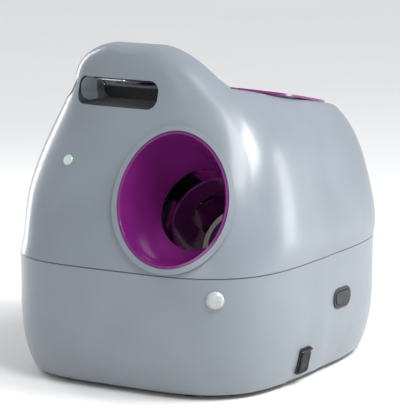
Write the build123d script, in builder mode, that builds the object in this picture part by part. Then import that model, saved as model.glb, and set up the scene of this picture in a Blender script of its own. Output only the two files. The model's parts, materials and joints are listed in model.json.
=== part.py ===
from build123d import *
import os
from math import acos, atan2, cos, pi, radians, sin, sqrt, tan

os.makedirs("parts", exist_ok=True)

# Automatic ball launcher. Millimetres, +Z up, -Y is the front with the launch port and -X the side
# with the range knob. The origin is the middle of the base, on the surface that it stands on.

# Housing
housing_width = 262.0
housing_length = 302.0
housing_height = 291.0
seam_height = 108.0
foot_height = 4.0
wall = 3.0
squareness = 3.8
outline_points = 24
even_shares = [step / outline_points for step in range(outline_points + 1)]
far = 400.0

# A station is a height and how far its outline stands inside the widest one: left, right, front, back.
lower_stations = [
    (foot_height, 11, 11, 12, 12),
    (25, 4, 4, 5, 5),
    (70, 0.5, 0.5, 0.5, 0.5),
    (seam_height, 0, 0, 0, 0),
]
upper_stations = [
    (seam_height, 0, 0, 0, 0),
    (150, 1, 3, 12, 2),
    (185, 5, 12, 28, 9),
    (225, 18, 32, 50, 31),
    (255, 34, 64, 62, 90),
    (277, 50, 96, 67, 150),
    (housing_height, 78, 130, 75, 175),
]

# Ball and launch barrel. The barrel's axis lies in a plane at barrel_x and tilts about pivot_y, pivot_z.
ball_diameter = 65.0
ball_room = 9.0
barrel_bore = ball_diameter + ball_room
barrel_wall = 2.0
barrel_x = 46.0
pivot_y = -52.0
pivot_z = 138.0
launch_angle = 32.0
muzzle_reach = 8.0
cheek_thickness = 3.6

# Striker, its rack and its spring
striker_clearance = 0.3
striker_length = 46.0
striker_face = -50.5
striker_wall = 3.0
striker_travel = 42.0
end_wall = 3.0
breech_reach = striker_length - striker_face + striker_travel + end_wall
pad_thickness = 4.0
pad_radius = 30.0
pad_rounding = 1.5
vent_radius = 10.0
rack_width = 10.0
rack_module = 1.5
sector_teeth = 24
sector_kept = 11
spring_radius = 29.0
spring_wire = 2.6
spring_turns = 8
soft_clearance = 0.3

# Reduction gears
gear_module = 1.0
pinion_teeth = 12
wheel_teeth = 40
backlash = 0.25
pinion_overlap = 0.5
hidden_gap = 0.3
tooth_depth = 1.05
tooth_rise = 0.8
pressure_angle = 20.0
shaft_diameter = 6.0
idler_pin_diameter = 4.0
motor_shaft_diameter = 2.3
running_clearance = 0.05
motor_diameter = 28.0
motor_length = 36.5
gear_plate_thickness = 2.5
post_radius = 3.0
gearbox_screw_radius = 1.3

# Range knob, its shaft and the toothed arc on the barrel that it turns
knob_module = 1.5
knob_pinion_teeth = 14
arc_teeth = 136
arc_kept = 11
knob_z = 126.0
knob_shaft_diameter = 8.0
knob_diameter = 47.0
knob_depth = 18.0
knob_flutes = 16
dial_diameter = 78.0

# Hopper
rim_slope = 11.5
rim_middle_y = 38.0
rim_middle_z = 238.0
hopper_half_x = 79.0
hopper_half_y = 74.0
hopper_x = 2.0
hopper_squareness = 3.0
waist_squareness = 2.7
liner_wall = 2.5
throat_radius = 38.0
throat_y = -12.0
throat_z = 188.0
throat_low_z = 140.0
sensor_beam_z = 176.0
sensor_beam_radius = 2.5
throat_cut_front = (-60.0, 188.0)
throat_cut_rear = (40.0, 142.0)
rim_flange = 4.0
rim_flange_height = 2.0

# Launch port
port_x = 48.0
port_y = -131.0
port_z = 172.0
port_turn = 25.0
port_rise = 18.0
port_half_width = 48.0
port_half_height = 58.0
port_lip = 2.0
port_rim_width = 5.0
port_rim_lip = 3.2

# Handle
slot_left = -74.0
slot_right = 10.0
slot_low = 239.0
slot_high = 263.0
slot_back = -42.0
bar_back = -54.0
grip_thickness = 2.5
grip_front = -80.0
side_hole_y = -67.0
side_hole_width = 26.0

# Batteries, six D cells in two columns
cell_diameter = 34.2
cell_length = 61.5
cells_per_column = 3
cell_clearance = 0.4
cell_lift = 1.3
box_wall = 2.0
box_x = -54.0
contact_thickness = 0.8
contact_spring_length = 8.0
door_clearance = 0.3

# Fasteners and feet
fit_gap = 0.15
base_rounding = 5.0
boss_radius = 6.0
screw_radius = 2.0
screw_head_radius = 3.6
screw_head_height = 3.0
screw_seat_z = seam_height - 18.0
screw_grip = 18.0
upper_boss_height = 24.0
boss_places = [(-104, -60), (-104, 90), (104, -60), (104, 90)]
foot_radius = 9.0
foot_chamfer = 0.8
foot_places = [(-60, -116), (60, -116), (-60, 116), (60, 116), (0, 0)]

# Things set into the housing
bush_radius = 6.0
bush_inner_x = -120.0
dial_face_x = -133.0
light_radius = 5.0
status_place = (-65.0, -116.1, 193.0)
status_normal = (-0.15, -0.862, 0.482)
lens_radius = 8.0
sensor_place = (94.0, -137.5, 90.0)
sensor_normal = (0.51, -0.86, 0)
sensor_across = (0.86, 0.51, 0)
jack_place = (126.0, -40.0, 22.0)
jack_normal = (cos(radians(12)), 0, -sin(radians(12)))
jack_width = 17.0
jack_height = 22.0
jack_corner = 2.0
button_x = 130.6
button_y = 25.0
button_z = 66.0
button_travel = 2.0
bezel_width = 30.0
bezel_height = 16.0
speaker_x = -34.0
speaker_z = 72.0
grille_radius = 22.0
grille_pitch = 5.5
grille_hole_radius = 1.3

# Control board
board_x = (2.0, 72.0)
board_y = (76.0, 118.0)
board_z = 15.0
board_thickness = 1.6
board_post_radius = 3.0
board_screw_radius = 1.2
board_screw_head = 1.6
board_inset = 5.0

# Frame that carries the barrel
leg_thickness = 4.0
leg_front = -16.0
leg_rear = 12.0
washer_thickness = 2.0
pin_diameter = 8.0
flange_thickness = 4.0


# ---- shared shapes ----


def superellipse(plane, centre_x, centre_y, half_x, half_y, power, shares=None):
    """A closed smooth outline. Shares say how far round it each of its points is."""
    points = []
    for step in range(outline_points):
        turn = 2 * pi * step / outline_points
        reach = (abs(cos(turn) / half_x) ** power + abs(sin(turn) / half_y) ** power) ** (-1 / power)
        points.append((centre_x + reach * cos(turn), centre_y + reach * sin(turn)))
    with BuildSketch(plane) as section:
        with BuildLine():
            add(Edge.make_spline(points, periodic=True, parameters=shares))
        make_face()
    return section.sketch


def housing_outline(station, grow, lift):
    """One level section of the housing. All of them have their points at the same shares."""
    height, left, right, front, back = station
    x_low = left - housing_width / 2 - grow
    x_high = housing_width / 2 - right + grow
    y_low = front - housing_length / 2 - grow
    y_high = housing_length / 2 - back + grow
    middle = ((x_low + x_high) / 2, (y_low + y_high) / 2)
    plane = Plane.XY.offset(height + lift)
    half_x = (x_high - x_low) / 2
    half_y = (y_high - y_low) / 2
    return superellipse(plane, *middle, half_x, half_y, squareness, even_shares)


def housing_form(stations, grow=0.0, lift=0.0):
    with BuildPart() as form:
        loft([housing_outline(station, grow, lift) for station in stations])
    return form.part


def rod(x_low, x_high, y, z, radius):
    """A cylinder along X."""
    with BuildPart() as piece:
        with BuildSketch(Plane.YZ.offset(x_low)):
            with Locations((y, z)):
                Circle(radius)
        extrude(amount=x_high - x_low)
    return piece.part


def block(x, y, z):
    """A box between low and high values along each axis."""
    with BuildPart() as piece:
        with BuildSketch(Plane.XY.offset(z[0])):
            with Locations(((x[0] + x[1]) / 2, (y[0] + y[1]) / 2)):
                Rectangle(x[1] - x[0], y[1] - y[0])
        extrude(amount=z[1] - z[0])
    return piece.part


def upright(x, y, radius, z_low, z_high):
    with BuildPart() as piece:
        with BuildSketch(Plane.XY.offset(z_low)):
            with Locations((x, y)):
                Circle(radius)
        extrude(amount=z_high - z_low)
    return piece.part


# The barrel's own directions: s forward along its axis, n square to it and up.
forward = (0, -cos(radians(launch_angle)), sin(radians(launch_angle)))
above = (0, sin(radians(launch_angle)), cos(radians(launch_angle)))


def barrel_point(x, s, n):
    return (x, pivot_y + s * forward[1] + n * above[1], pivot_z + s * forward[2] + n * above[2])


def side_plane(x_high):
    """A sketch plane across the barrel's side with s and n as its axes. Extrusions run towards -X."""
    return Plane(origin=(x_high, pivot_y, pivot_z), x_dir=forward, z_dir=(-1, 0, 0))


def bore_plane(s):
    return Plane(origin=barrel_point(barrel_x, s, 0), x_dir=(1, 0, 0), z_dir=forward)


def cross_rod(x_low, x_high, place, radius):
    """A cylinder along X at a place given as (s, n)."""
    with BuildPart() as piece:
        with BuildSketch(side_plane(x_high)):
            with Locations(place):
                Circle(radius)
        extrude(amount=x_high - x_low)
    return piece.part


def side_plate(x_low, x_high, points):
    with BuildPart() as piece:
        with BuildSketch(side_plane(x_high)):
            with BuildLine():
                Polyline(*points, close=True)
            make_face()
        extrude(amount=x_high - x_low)
    return piece.part


def tube(s_low, s_high, outer, inner):
    with BuildPart() as piece:
        with BuildSketch(bore_plane(s_low)):
            Circle(outer)
            if inner > 0:
                Circle(inner, mode=Mode.SUBTRACT)
        extrude(amount=s_high - s_low)
    return piece.part


def involute(angle):
    return tan(angle) - angle


def tooth_points(teeth, module, centre, first, count):
    """Stub involute teeth, as points round the centre. The first tooth points at the angle first."""
    pitch = teeth * module / 2
    base = pitch * cos(radians(pressure_angle))
    root = pitch - tooth_depth * module
    tip = pitch + tooth_rise * module
    half_pitch = pi / (2 * teeth) - backlash / (2 * pitch)
    flank = []
    start = max(root, base)
    for share in (0, 0.33, 0.67, 1):
        radius = start + (tip - start) * share
        turn = acos(min(1.0, base / radius))
        flank.append((radius, half_pitch + involute(radians(pressure_angle)) - involute(turn)))
    if root < base:
        flank.insert(0, (root, flank[0][1]))
    points = []
    for tooth in range(count):
        middle = first + 2 * pi * tooth / teeth
        for radius, half in flank:
            points.append((radius, middle - half))
        for radius, half in reversed(flank):
            points.append((radius, middle + half))
    return [(centre[0] + r * cos(a), centre[1] + r * sin(a)) for r, a in points]


def bearing(start, end):
    """The angle in the side plane from one (s, n) place to another."""
    return atan2(end[1] - start[1], end[0] - start[0])


# ---- places that the mechanism is worked out from ----

bore_radius = barrel_bore / 2
barrel_radius = bore_radius + barrel_wall
barrel_left = barrel_x - barrel_radius
barrel_right = barrel_x + barrel_radius
cheek_in = 0.6
left_cheek = (barrel_left + cheek_in - cheek_thickness, barrel_left + cheek_in)
right_cheek = (barrel_right - cheek_in, barrel_right - cheek_in + cheek_thickness)
striker_radius = bore_radius - striker_clearance
rack_inset = 0.2
rack_pitch_n = -(striker_radius - rack_inset)
sector_radius = rack_module * sector_teeth / 2
wheel_distance = gear_module * (wheel_teeth + pinion_teeth) / 2
rack_lead = 2.0
drive_place = (striker_face - striker_length + rack_lead, rack_pitch_n - sector_radius)
idler_lean = 30.0
idler_place = (
    drive_place[0] - wheel_distance * sin(radians(idler_lean)),
    drive_place[1] + wheel_distance * cos(radians(idler_lean)),
)
motor_place = (idler_place[0], idler_place[1] + wheel_distance)
wheel_gap = 2.0
wheel_width = 4.0
plate_gap = 3.0
drive_wheel_x = (left_cheek[0] - wheel_gap - wheel_width, left_cheek[0] - wheel_gap)
idler_wheel_x = (drive_wheel_x[0] - wheel_gap - wheel_width, drive_wheel_x[0] - wheel_gap)
gear_plate_high = idler_wheel_x[0] - plate_gap
gear_plate_x = (gear_plate_high - gear_plate_thickness, gear_plate_high)
knob_distance = knob_module * (arc_teeth + knob_pinion_teeth) / 2
knob_y = pivot_y + sqrt(knob_distance**2 - (pivot_z - knob_z) ** 2)
knob_offset = (knob_y - pivot_y, knob_z - pivot_z)
knob_place = (
    knob_offset[0] * forward[1] + knob_offset[1] * forward[2],
    knob_offset[0] * above[1] + knob_offset[1] * above[2],
)
arc_stand = 7.0
arc_width = 6.0
knob_pinion_x = (left_cheek[0] - arc_stand - arc_width, left_cheek[0] - arc_stand)

rim_plane = Plane(
    origin=(0, rim_middle_y, rim_middle_z),
    x_dir=(1, 0, 0),
    z_dir=(0, sin(radians(rim_slope)), cos(radians(rim_slope))),
)


def rim_height(y):
    return rim_middle_z - (y - rim_middle_y) * tan(radians(rim_slope))


floor_z = foot_height + wall
frame_screws = [
    (x, y)
    for x in (barrel_x - 34, barrel_x + 34)
    for y in (pivot_y + leg_front + 6, pivot_y + leg_rear - 6)
]
board_posts = [
    (x, y)
    for x in (board_x[0] + board_inset, board_x[1] - board_inset)
    for y in (board_y[0] + board_inset, board_y[1] - board_inset)
]
column_pitch = cell_diameter + 2 * cell_clearance + box_wall
box_half_x = (column_pitch + cell_diameter) / 2 + cell_clearance
box_half_y = cells_per_column * cell_length / 2 + contact_thickness + contact_spring_length / 2
door_hole_x = (box_x - box_half_x, box_x + box_half_x)
door_hole_y = (-box_half_y, box_half_y)
cell_z = floor_z + cell_lift + cell_diameter / 2
box_top = cell_z + cell_diameter / 2 + 0.5 + box_wall
door_thickness = wall - 0.4
door_edge = door_thickness / 2
door_z = foot_height + wall / 2
hinge_x = door_hole_x[0] + door_clearance + door_edge
hinge_peg = 0.8
hinge_peg_length = 1.8

# ---- housing ----

upper_form = housing_form(upper_stations)
upper_space = housing_form(upper_stations, -wall, -wall)
lower_form = housing_form(lower_stations)
lower_space = housing_form(lower_stations, -wall, wall)


def above_hopper(grow):
    """The air over the hopper and behind the handle bar."""
    with BuildPart() as cut:
        with BuildSketch(Plane.YZ.offset(-far / 2)):
            with BuildLine():
                Polyline(
                    (bar_back, far),
                    (bar_back, rim_height(bar_back)),
                    (far, rim_height(far)),
                    (far, far),
                    close=True,
                )
            make_face()
            if grow:
                offset(amount=grow)
        extrude(amount=far)
    return cut.part


def finger_space(grow):
    """The slot under the handle bar and the gap behind it."""
    width = slot_right - slot_left + 2 * grow
    middle = (slot_left + slot_right) / 2
    with BuildPart() as cut:
        with BuildSketch(Plane.XZ.offset(-slot_back - grow)):
            with Locations((middle, (slot_low + slot_high) / 2)):
                RectangleRounded(width, slot_high - slot_low + 2 * grow, 9 + grow)
        extrude(amount=far)
        with BuildSketch(Plane.XY.offset((slot_low + slot_high) / 2)):
            with Locations((middle, (bar_back + slot_back) / 2)):
                RectangleRounded(width, slot_back - bar_back + 2 * grow, 5 + grow)
        extrude(amount=far)
    return cut.part


def side_hole(grow):
    """The opening through the handle's outer post."""
    with BuildPart() as cut:
        with BuildSketch(Plane.YZ.offset(-far)):
            with Locations((side_hole_y, (slot_low + slot_high) / 2)):
                RectangleRounded(side_hole_width + 2 * grow, slot_high - slot_low - 2 + 2 * grow, 8 + grow)
        extrude(amount=far + slot_left + 6)
    return cut.part


port_normal = (
    sin(radians(port_turn)) * cos(radians(port_rise)),
    -cos(radians(port_turn)) * cos(radians(port_rise)),
    sin(radians(port_rise)),
)
port_across = (cos(radians(port_turn)), sin(radians(port_turn)), 0)
port_plane = Plane(origin=(port_x, port_y, port_z), x_dir=port_across, z_dir=port_normal)
port_throat_s = 30.0
port_waist_depth = 25.0
port_stand_out = 14.0


def port_cone(grow):
    """The flared space from the barrel's mouth to the front of the housing."""
    with BuildPart() as cone:
        with BuildSketch(bore_plane(port_throat_s)) as throat:
            Circle(throat_radius + grow)
        with BuildSketch(port_plane.offset(-port_waist_depth)) as waist:
            Ellipse(port_half_width - 4 + grow, port_half_height - 4 + grow)
        with BuildSketch(port_plane.offset(port_stand_out)) as mouth:
            Ellipse(port_half_width + grow, port_half_height + grow)
        loft([throat.sketch, waist.sketch, mouth.sketch])
    return cone.part


def hopper_outline(grow, lift):
    plane = rim_plane.offset(lift)
    return superellipse(plane, hopper_x, 0, hopper_half_x + grow, hopper_half_y + grow, hopper_squareness)


def hopper_bowl(grow, low, high):
    """The bowl that narrows from the rim to the throat over the barrel."""
    with BuildPart() as bowl:
        throat_reach = throat_radius + grow
        deep_plane = Plane.XY.offset(throat_z + low)
        deep = superellipse(deep_plane, barrel_x, throat_y, throat_reach, throat_reach, 2.0)
        waist_x = hopper_half_x - 10 + grow
        waist_y = hopper_half_y - 11 + grow
        waist_plane = rim_plane.offset(-27)
        waist = superellipse(waist_plane, hopper_x + 6, -7, waist_x, waist_y, waist_squareness)
        loft([deep, waist, hopper_outline(grow, high)])
    return bowl.part


def boss(place, z_low, z_high):
    """A screw post with a rib out to the side wall."""
    side = 1 if place[0] > 0 else -1
    reach = sorted((place[0], side * housing_width / 2))
    post = upright(place[0], place[1], boss_radius, z_low, z_high)
    rib = block(reach, (place[1] - wall / 2, place[1] + wall / 2), (z_low, z_high))
    return post + rib


def write(builder, name):
    builder.part.label = name
    export_step(builder.part, f"parts/{name}.step")


# The status light looks out along its own plane, square to the housing where it sits.
status_plane = Plane(origin=status_place, x_dir=(1, 0, 0), z_dir=status_normal)
sensor_plane = Plane(origin=sensor_place, x_dir=sensor_across, z_dir=sensor_normal)
jack_plane = Plane(origin=jack_place, x_dir=(0, 1, 0), z_dir=jack_normal)
button_plane = Plane(origin=(button_x, button_y, button_z), x_dir=(0, 1, 0), z_dir=(1, 0, 0))


def peg(plane, low, high, radius):
    """A cylinder along a plane's normal."""
    with BuildPart() as piece:
        with BuildSketch(plane.offset(low)):
            Circle(radius)
        extrude(amount=high - low)
    return piece.part


def pad_block(plane, low, high, width, height, corner):
    """A rounded block along a plane's normal."""
    with BuildPart() as piece:
        with BuildSketch(plane.offset(low)):
            RectangleRounded(width, height, corner)
        extrude(amount=high - low)
    return piece.part


def shaft_along_y(x, z, radius, y_low, y_high):
    """A cylinder along Y."""
    with BuildPart() as piece:
        with BuildSketch(Plane.XZ.offset(-y_low)):
            with Locations((x, z)):
                Circle(radius)
        extrude(amount=y_low - y_high)
    return piece.part


upper_room = upper_space - above_hopper(wall) - finger_space(wall) - side_hole(wall)
port_rim = (port_cone(liner_wall + port_rim_width) & housing_form(upper_stations, port_rim_lip)) - upper_space
upper_bosses = [boss(place, seam_height, seam_height + upper_boss_height) for place in boss_places]
upper_screw_holes = [
    upright(*place, screw_radius, seam_height, seam_height + screw_grip) for place in boss_places
]

with BuildPart() as upper_shell:
    add(upper_form)
    add(above_hopper(0), mode=Mode.SUBTRACT)
    add(upper_room, mode=Mode.SUBTRACT)
    add(port_rim)
    add(port_cone(liner_wall + fit_gap), mode=Mode.SUBTRACT)
    add(finger_space(0), mode=Mode.SUBTRACT)
    add(side_hole(0), mode=Mode.SUBTRACT)
    extrude(hopper_outline(liner_wall + fit_gap, -2 * wall), amount=4 * wall, mode=Mode.SUBTRACT)
    add(Part() + upper_bosses & upper_form)
    upper_holes = [
        *upper_screw_holes,
        rod(-housing_width, bush_inner_x, knob_y, knob_z, bush_radius),
        peg(status_plane, -2 * wall, 2 * wall, light_radius),
    ]
    add(upper_holes, mode=Mode.SUBTRACT)
write(upper_shell, "upper_shell")

lower_bosses = [boss(place, foot_height, seam_height) for place in boss_places]
screw_head_wells = [
    upright(*place, screw_head_radius + fit_gap, 0, screw_seat_z) for place in boss_places
]
lower_screw_holes = [upright(*place, screw_radius, 0, seam_height) for place in boss_places]
board_post_solids = [upright(*place, board_post_radius, floor_z, board_z) for place in board_posts]
frame_screw_holes = [
    upright(*place, screw_radius, foot_height + 1, foot_height + wall) for place in frame_screws
]
hinge_holes = []
for side in (-1, 1):
    hinge_hole_end = side * (box_half_y + hinge_peg_length - door_clearance)
    low, high = sorted((side * (box_half_y - 1), hinge_hole_end))
    hinge_holes.append(shaft_along_y(hinge_x, door_z, hinge_peg + running_clearance, low, high))

with BuildPart() as lower_shell:
    add(lower_form)
    fillet(lower_shell.faces().sort_by(Axis.Z)[0].edges(), base_rounding)
    add(lower_space, mode=Mode.SUBTRACT)
    add([Part() + lower_bosses & lower_form, *board_post_solids])
    lower_holes = [
        block(door_hole_x, door_hole_y, (0, foot_height + wall)),
        *screw_head_wells,
        *lower_screw_holes,
        *frame_screw_holes,
        *hinge_holes,
        peg(sensor_plane, -3 * wall, 3 * wall, lens_radius),
        pad_block(jack_plane, -4 * wall, 3 * wall, jack_width, jack_height, jack_corner),
        pad_block(button_plane, -4 * wall, 3 * wall, bezel_width, bezel_height, bezel_height / 2 - 0.1),
        shaft_along_y(speaker_x, speaker_z, grille_radius + fit_gap, housing_length / 2 - 4 * wall, far),
    ]
    add(lower_holes, mode=Mode.SUBTRACT)
write(lower_shell, "lower_shell")

# ---- hopper and launch port ----

with BuildPart() as hopper_liner:
    add(hopper_bowl(liner_wall, 0, 0))
    extrude(hopper_outline(liner_wall + rim_flange, 0), amount=rim_flange_height)
    add(upright(barrel_x, throat_y, throat_radius + 1 + liner_wall, throat_low_z, throat_z))
    add(upright(barrel_x, throat_y, throat_radius + 1, throat_low_z, throat_z), mode=Mode.SUBTRACT)
    add(hopper_bowl(0, 0, rim_flange_height + 1), mode=Mode.SUBTRACT)
    with BuildSketch(Plane.YZ.offset(-far / 2)):
        with BuildLine():
            Polyline(
                throat_cut_front,
                throat_cut_rear,
                (far, throat_cut_rear[1]),
                (far, -far),
                (-far, -far),
                (-far, throat_cut_front[1]),
                close=True,
            )
        make_face()
    extrude(amount=far, mode=Mode.SUBTRACT)
    add(rod(-far, far, throat_y, sensor_beam_z, sensor_beam_radius), mode=Mode.SUBTRACT)
write(hopper_liner, "hopper_liner")

with BuildPart() as port_funnel:
    add(port_cone(liner_wall) & housing_form(upper_stations, port_lip))
    add(port_cone(0), mode=Mode.SUBTRACT)
write(port_funnel, "port_funnel")

with BuildPart() as handle_grip:
    with BuildSketch(Plane.XY.offset(slot_high - grip_thickness)):
        with Locations(((slot_left + slot_right) / 2, (grip_front + bar_back - 2) / 2)):
            RectangleRounded(slot_right - slot_left - 20, bar_back - 2 - grip_front, 5)
    extrude(amount=grip_thickness)
    fillet(handle_grip.faces().sort_by(Axis.Z)[0].edges(), grip_thickness / 2)
write(handle_grip, "handle_grip")

# ---- launch barrel ----

cheek_low = drive_place[1] - 13.5
cheek_points = [
    (12, 12),
    (12, -14),
    (drive_place[0] + 10, cheek_low),
    (drive_place[0] - 12, cheek_low),
    (-breech_reach + 9, -56),
    (-breech_reach, -42),
    (-breech_reach, 12),
]
post_places = [
    (drive_place[0] + 25, drive_place[1] + 4),
    (drive_place[0] - 33.5, drive_place[1] + 4),
    (idler_place[0] + 24, idler_place[1] + 20),
]
arc_middle = bearing((0, 0), knob_place)
arc_pitch = 2 * pi / arc_teeth
arc_depth = 8.0
arc_inner = knob_module * arc_teeth / 2 - arc_depth
arc_half = arc_pitch * arc_kept / 2
arc_first = arc_middle - arc_pitch * (arc_kept - 1) / 2
arc_points = tooth_points(arc_teeth, knob_module, (0, 0), arc_first, arc_kept)
arc_points += [
    (arc_inner * cos(arc_middle + arc_half), arc_inner * sin(arc_middle + arc_half)),
    (arc_inner * cos(arc_middle - arc_half), arc_inner * sin(arc_middle - arc_half)),
]
web_half = arc_half - radians(2.5)
web_low = 30.0
web_high = arc_inner + arc_depth / 2
web_corners = ((web_low, -web_half), (web_high, -web_half), (web_high, web_half), (web_low, web_half))
arc_web = [
    (radius * cos(arc_middle + turn), radius * sin(arc_middle + turn)) for radius, turn in web_corners
]
window_back = -98.0
window_front = -16.0
window_n = 6.0
rack_side_gap = 1.5
rack_slot = (barrel_x - rack_width / 2 - rack_side_gap, barrel_x + rack_width / 2 + rack_side_gap)
slot_end = striker_face + 4
pin_radius = pin_diameter / 2
shaft_radius = shaft_diameter / 2
pin_bore = pin_radius + running_clearance
shaft_bore = shaft_radius + running_clearance
idler_pin_radius = idler_pin_diameter / 2
idler_pin_seat = 0.8

with BuildPart() as launch_barrel:
    add(tube(-breech_reach, muzzle_reach, barrel_radius, bore_radius))
    window = [(window_back, window_n), (window_front, window_n), (window_front, far), (window_back, far)]
    add(side_plate(barrel_left - 1, barrel_right + 1, window), mode=Mode.SUBTRACT)
    slot = [
        (-breech_reach + end_wall, -far),
        (slot_end, -far),
        (slot_end, -bore_radius / 2),
        (-breech_reach + end_wall, -bore_radius / 2),
    ]
    add(side_plate(*rack_slot, slot), mode=Mode.SUBTRACT)
    add(tube(-breech_reach, -breech_reach + end_wall, barrel_radius - 0.5, vent_radius))
    add(side_plate(*left_cheek, cheek_points))
    add(side_plate(*right_cheek, cheek_points))
    add(side_plate(*left_cheek, arc_web))
    add(side_plate(knob_pinion_x[0], left_cheek[1], arc_points))
    cheek_holes = [
        cross_rod(left_cheek[0] - 1, barrel_left + 1, (0, 0), pin_bore),
        cross_rod(barrel_right - 1, right_cheek[1] + 1, (0, 0), pin_bore),
        cross_rod(left_cheek[0] - 1, right_cheek[1] + 1, drive_place, shaft_bore),
        cross_rod(left_cheek[0] - 1, left_cheek[1] - idler_pin_seat, idler_place, idler_pin_radius),
    ]
    add(cheek_holes, mode=Mode.SUBTRACT)
write(launch_barrel, "launch_barrel")

# ---- striker with its rack, pad and spring ----

rack_pitch = pi * rack_module
rack_half = rack_pitch / 4 - backlash / 2
rack_tip = rack_pitch_n - tooth_rise * rack_module
rack_root = rack_pitch_n + tooth_depth * rack_module
flank_slope = tan(radians(pressure_angle))
striker_back = striker_face - striker_length
rack_back_n = rack_root + 2.4
bed_thickness = 1.2
rack_points = [
    (striker_back, rack_root),
    (striker_back, rack_back_n),
    (striker_face, rack_back_n),
    (striker_face, rack_root),
]
rack_count = int((striker_length - 6) / rack_pitch)
for tooth in reversed(range(rack_count)):
    middle = drive_place[0] + rack_pitch * (tooth + 0.5)
    wide = rack_half + tooth_depth * rack_module * flank_slope
    narrow = rack_half - tooth_rise * rack_module * flank_slope
    rack_points.append((middle + wide, rack_root))
    rack_points.append((middle + narrow, rack_tip))
    rack_points.append((middle - narrow, rack_tip))
    rack_points.append((middle - wide, rack_root))
rack_x = (barrel_x - rack_width / 2, barrel_x + rack_width / 2)
rack_room = [
    (striker_back - 1, -far),
    (striker_face + 1, -far),
    (striker_face + 1, rack_back_n - 1),
    (striker_back - 1, rack_back_n - 1),
]
rack_bed = [
    (striker_back, rack_back_n - 1),
    (striker_back, rack_back_n + bed_thickness),
    (striker_face, rack_back_n + bed_thickness),
    (striker_face, rack_back_n - 1),
]
striker_front_wall = 5.0

with BuildPart() as striker:
    add(tube(striker_back, striker_face, striker_radius, 0))
    hollow_end = striker_face - striker_front_wall
    add(tube(striker_back, hollow_end, striker_radius - striker_wall, 0), mode=Mode.SUBTRACT)
    add(side_plate(rack_x[0] - 1, rack_x[1] + 1, rack_room), mode=Mode.SUBTRACT)
    add(side_plate(rack_x[0] - 1, rack_x[1] + 1, rack_bed))
    add(side_plate(*rack_x, rack_points))
write(striker, "striker")

with BuildPart() as striker_pad:
    add(tube(striker_face, striker_face + pad_thickness, pad_radius, 0))
    fillet(striker_pad.edges().sort_by(Axis.Z)[-1], pad_rounding)
write(striker_pad, "striker_pad")

spring_low = -breech_reach + end_wall + soft_clearance + spring_wire / 2
spring_high = striker_face - striker_front_wall - soft_clearance - spring_wire / 2
with BuildPart() as launch_spring:
    with BuildLine() as coil:
        Helix(
            pitch=(spring_high - spring_low) / spring_turns,
            height=spring_high - spring_low,
            radius=spring_radius,
            center=barrel_point(barrel_x, spring_low, 0),
            direction=forward,
        )
    with BuildSketch(coil.line ^ 0):
        Circle(spring_wire / 2)
    sweep(path=coil.line, is_frenet=True)
write(launch_spring, "launch_spring")

# ---- gear train ----

sector_width = 7.0
hub_wall = 3.0
hub_length = 15.0
sector_x = (barrel_x - sector_width / 2, barrel_x + sector_width / 2)
hub_x = (barrel_x - hub_length / 2, barrel_x + hub_length / 2)
sector_pitch = 2 * pi / sector_teeth
sector_first = pi / 2 - sector_pitch * (sector_kept - 2)
sector_points = tooth_points(sector_teeth, rack_module, drive_place, sector_first, sector_kept)
blank_radius = sector_radius - 1.6 * rack_module
for step in range(1, sector_teeth - sector_kept):
    turn = sector_first + sector_pitch * (sector_kept - 0.5 + step)
    blank_point = (drive_place[0] + blank_radius * cos(turn), drive_place[1] + blank_radius * sin(turn))
    sector_points.append(blank_point)

with BuildPart() as drive_shaft:
    add(cross_rod(gear_plate_x[0] - 1, right_cheek[1] + 3, drive_place, shaft_radius))
write(drive_shaft, "drive_shaft")

with BuildPart() as sector_gear:
    add(side_plate(*sector_x, sector_points))
    add(cross_rod(*hub_x, drive_place, shaft_radius + hub_wall))
    add(cross_rod(hub_x[0] - 1, hub_x[1] + 1, drive_place, shaft_radius), mode=Mode.SUBTRACT)
write(sector_gear, "sector_gear")

to_idler = bearing(drive_place, idler_place)
to_motor = bearing(idler_place, motor_place)
drive_teeth = tooth_points(wheel_teeth, gear_module, drive_place, to_idler, wheel_teeth)
with BuildPart() as drive_wheel:
    add(side_plate(*drive_wheel_x, drive_teeth))
    add(cross_rod(drive_wheel_x[0] - 1, drive_wheel_x[1] + 1, drive_place, shaft_radius), mode=Mode.SUBTRACT)
write(drive_wheel, "drive_wheel")

idler_pinion_first = to_idler + pi + pi / pinion_teeth
idler_wheel_teeth = tooth_points(wheel_teeth, gear_module, idler_place, to_motor, wheel_teeth)
idler_small_teeth = tooth_points(pinion_teeth, gear_module, idler_place, idler_pinion_first, pinion_teeth)
with BuildPart() as idler_gear:
    add(side_plate(*idler_wheel_x, idler_wheel_teeth))
    add(side_plate(idler_wheel_x[1], drive_wheel_x[1] + pinion_overlap, idler_small_teeth))
    idler_bore = idler_pin_radius + running_clearance
    add(cross_rod(idler_wheel_x[0] - 1, left_cheek[0], idler_place, idler_bore), mode=Mode.SUBTRACT)
write(idler_gear, "idler_gear")

with BuildPart() as idler_pin:
    add(cross_rod(gear_plate_x[0], left_cheek[1] - idler_pin_seat, idler_place, idler_pin_radius))
write(idler_pin, "idler_pin")

motor_pinion_first = to_motor + pi + pi / pinion_teeth
motor_pinion_x = (idler_wheel_x[0] - 1, idler_wheel_x[1])
motor_shaft_radius = motor_shaft_diameter / 2
motor_teeth = tooth_points(pinion_teeth, gear_module, motor_place, motor_pinion_first, pinion_teeth)
with BuildPart() as motor_pinion:
    add(side_plate(*motor_pinion_x, motor_teeth))
    add(cross_rod(gear_plate_x[0] + hidden_gap, motor_pinion_x[0], motor_place, motor_shaft_radius))
write(motor_pinion, "motor_pinion")

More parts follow.
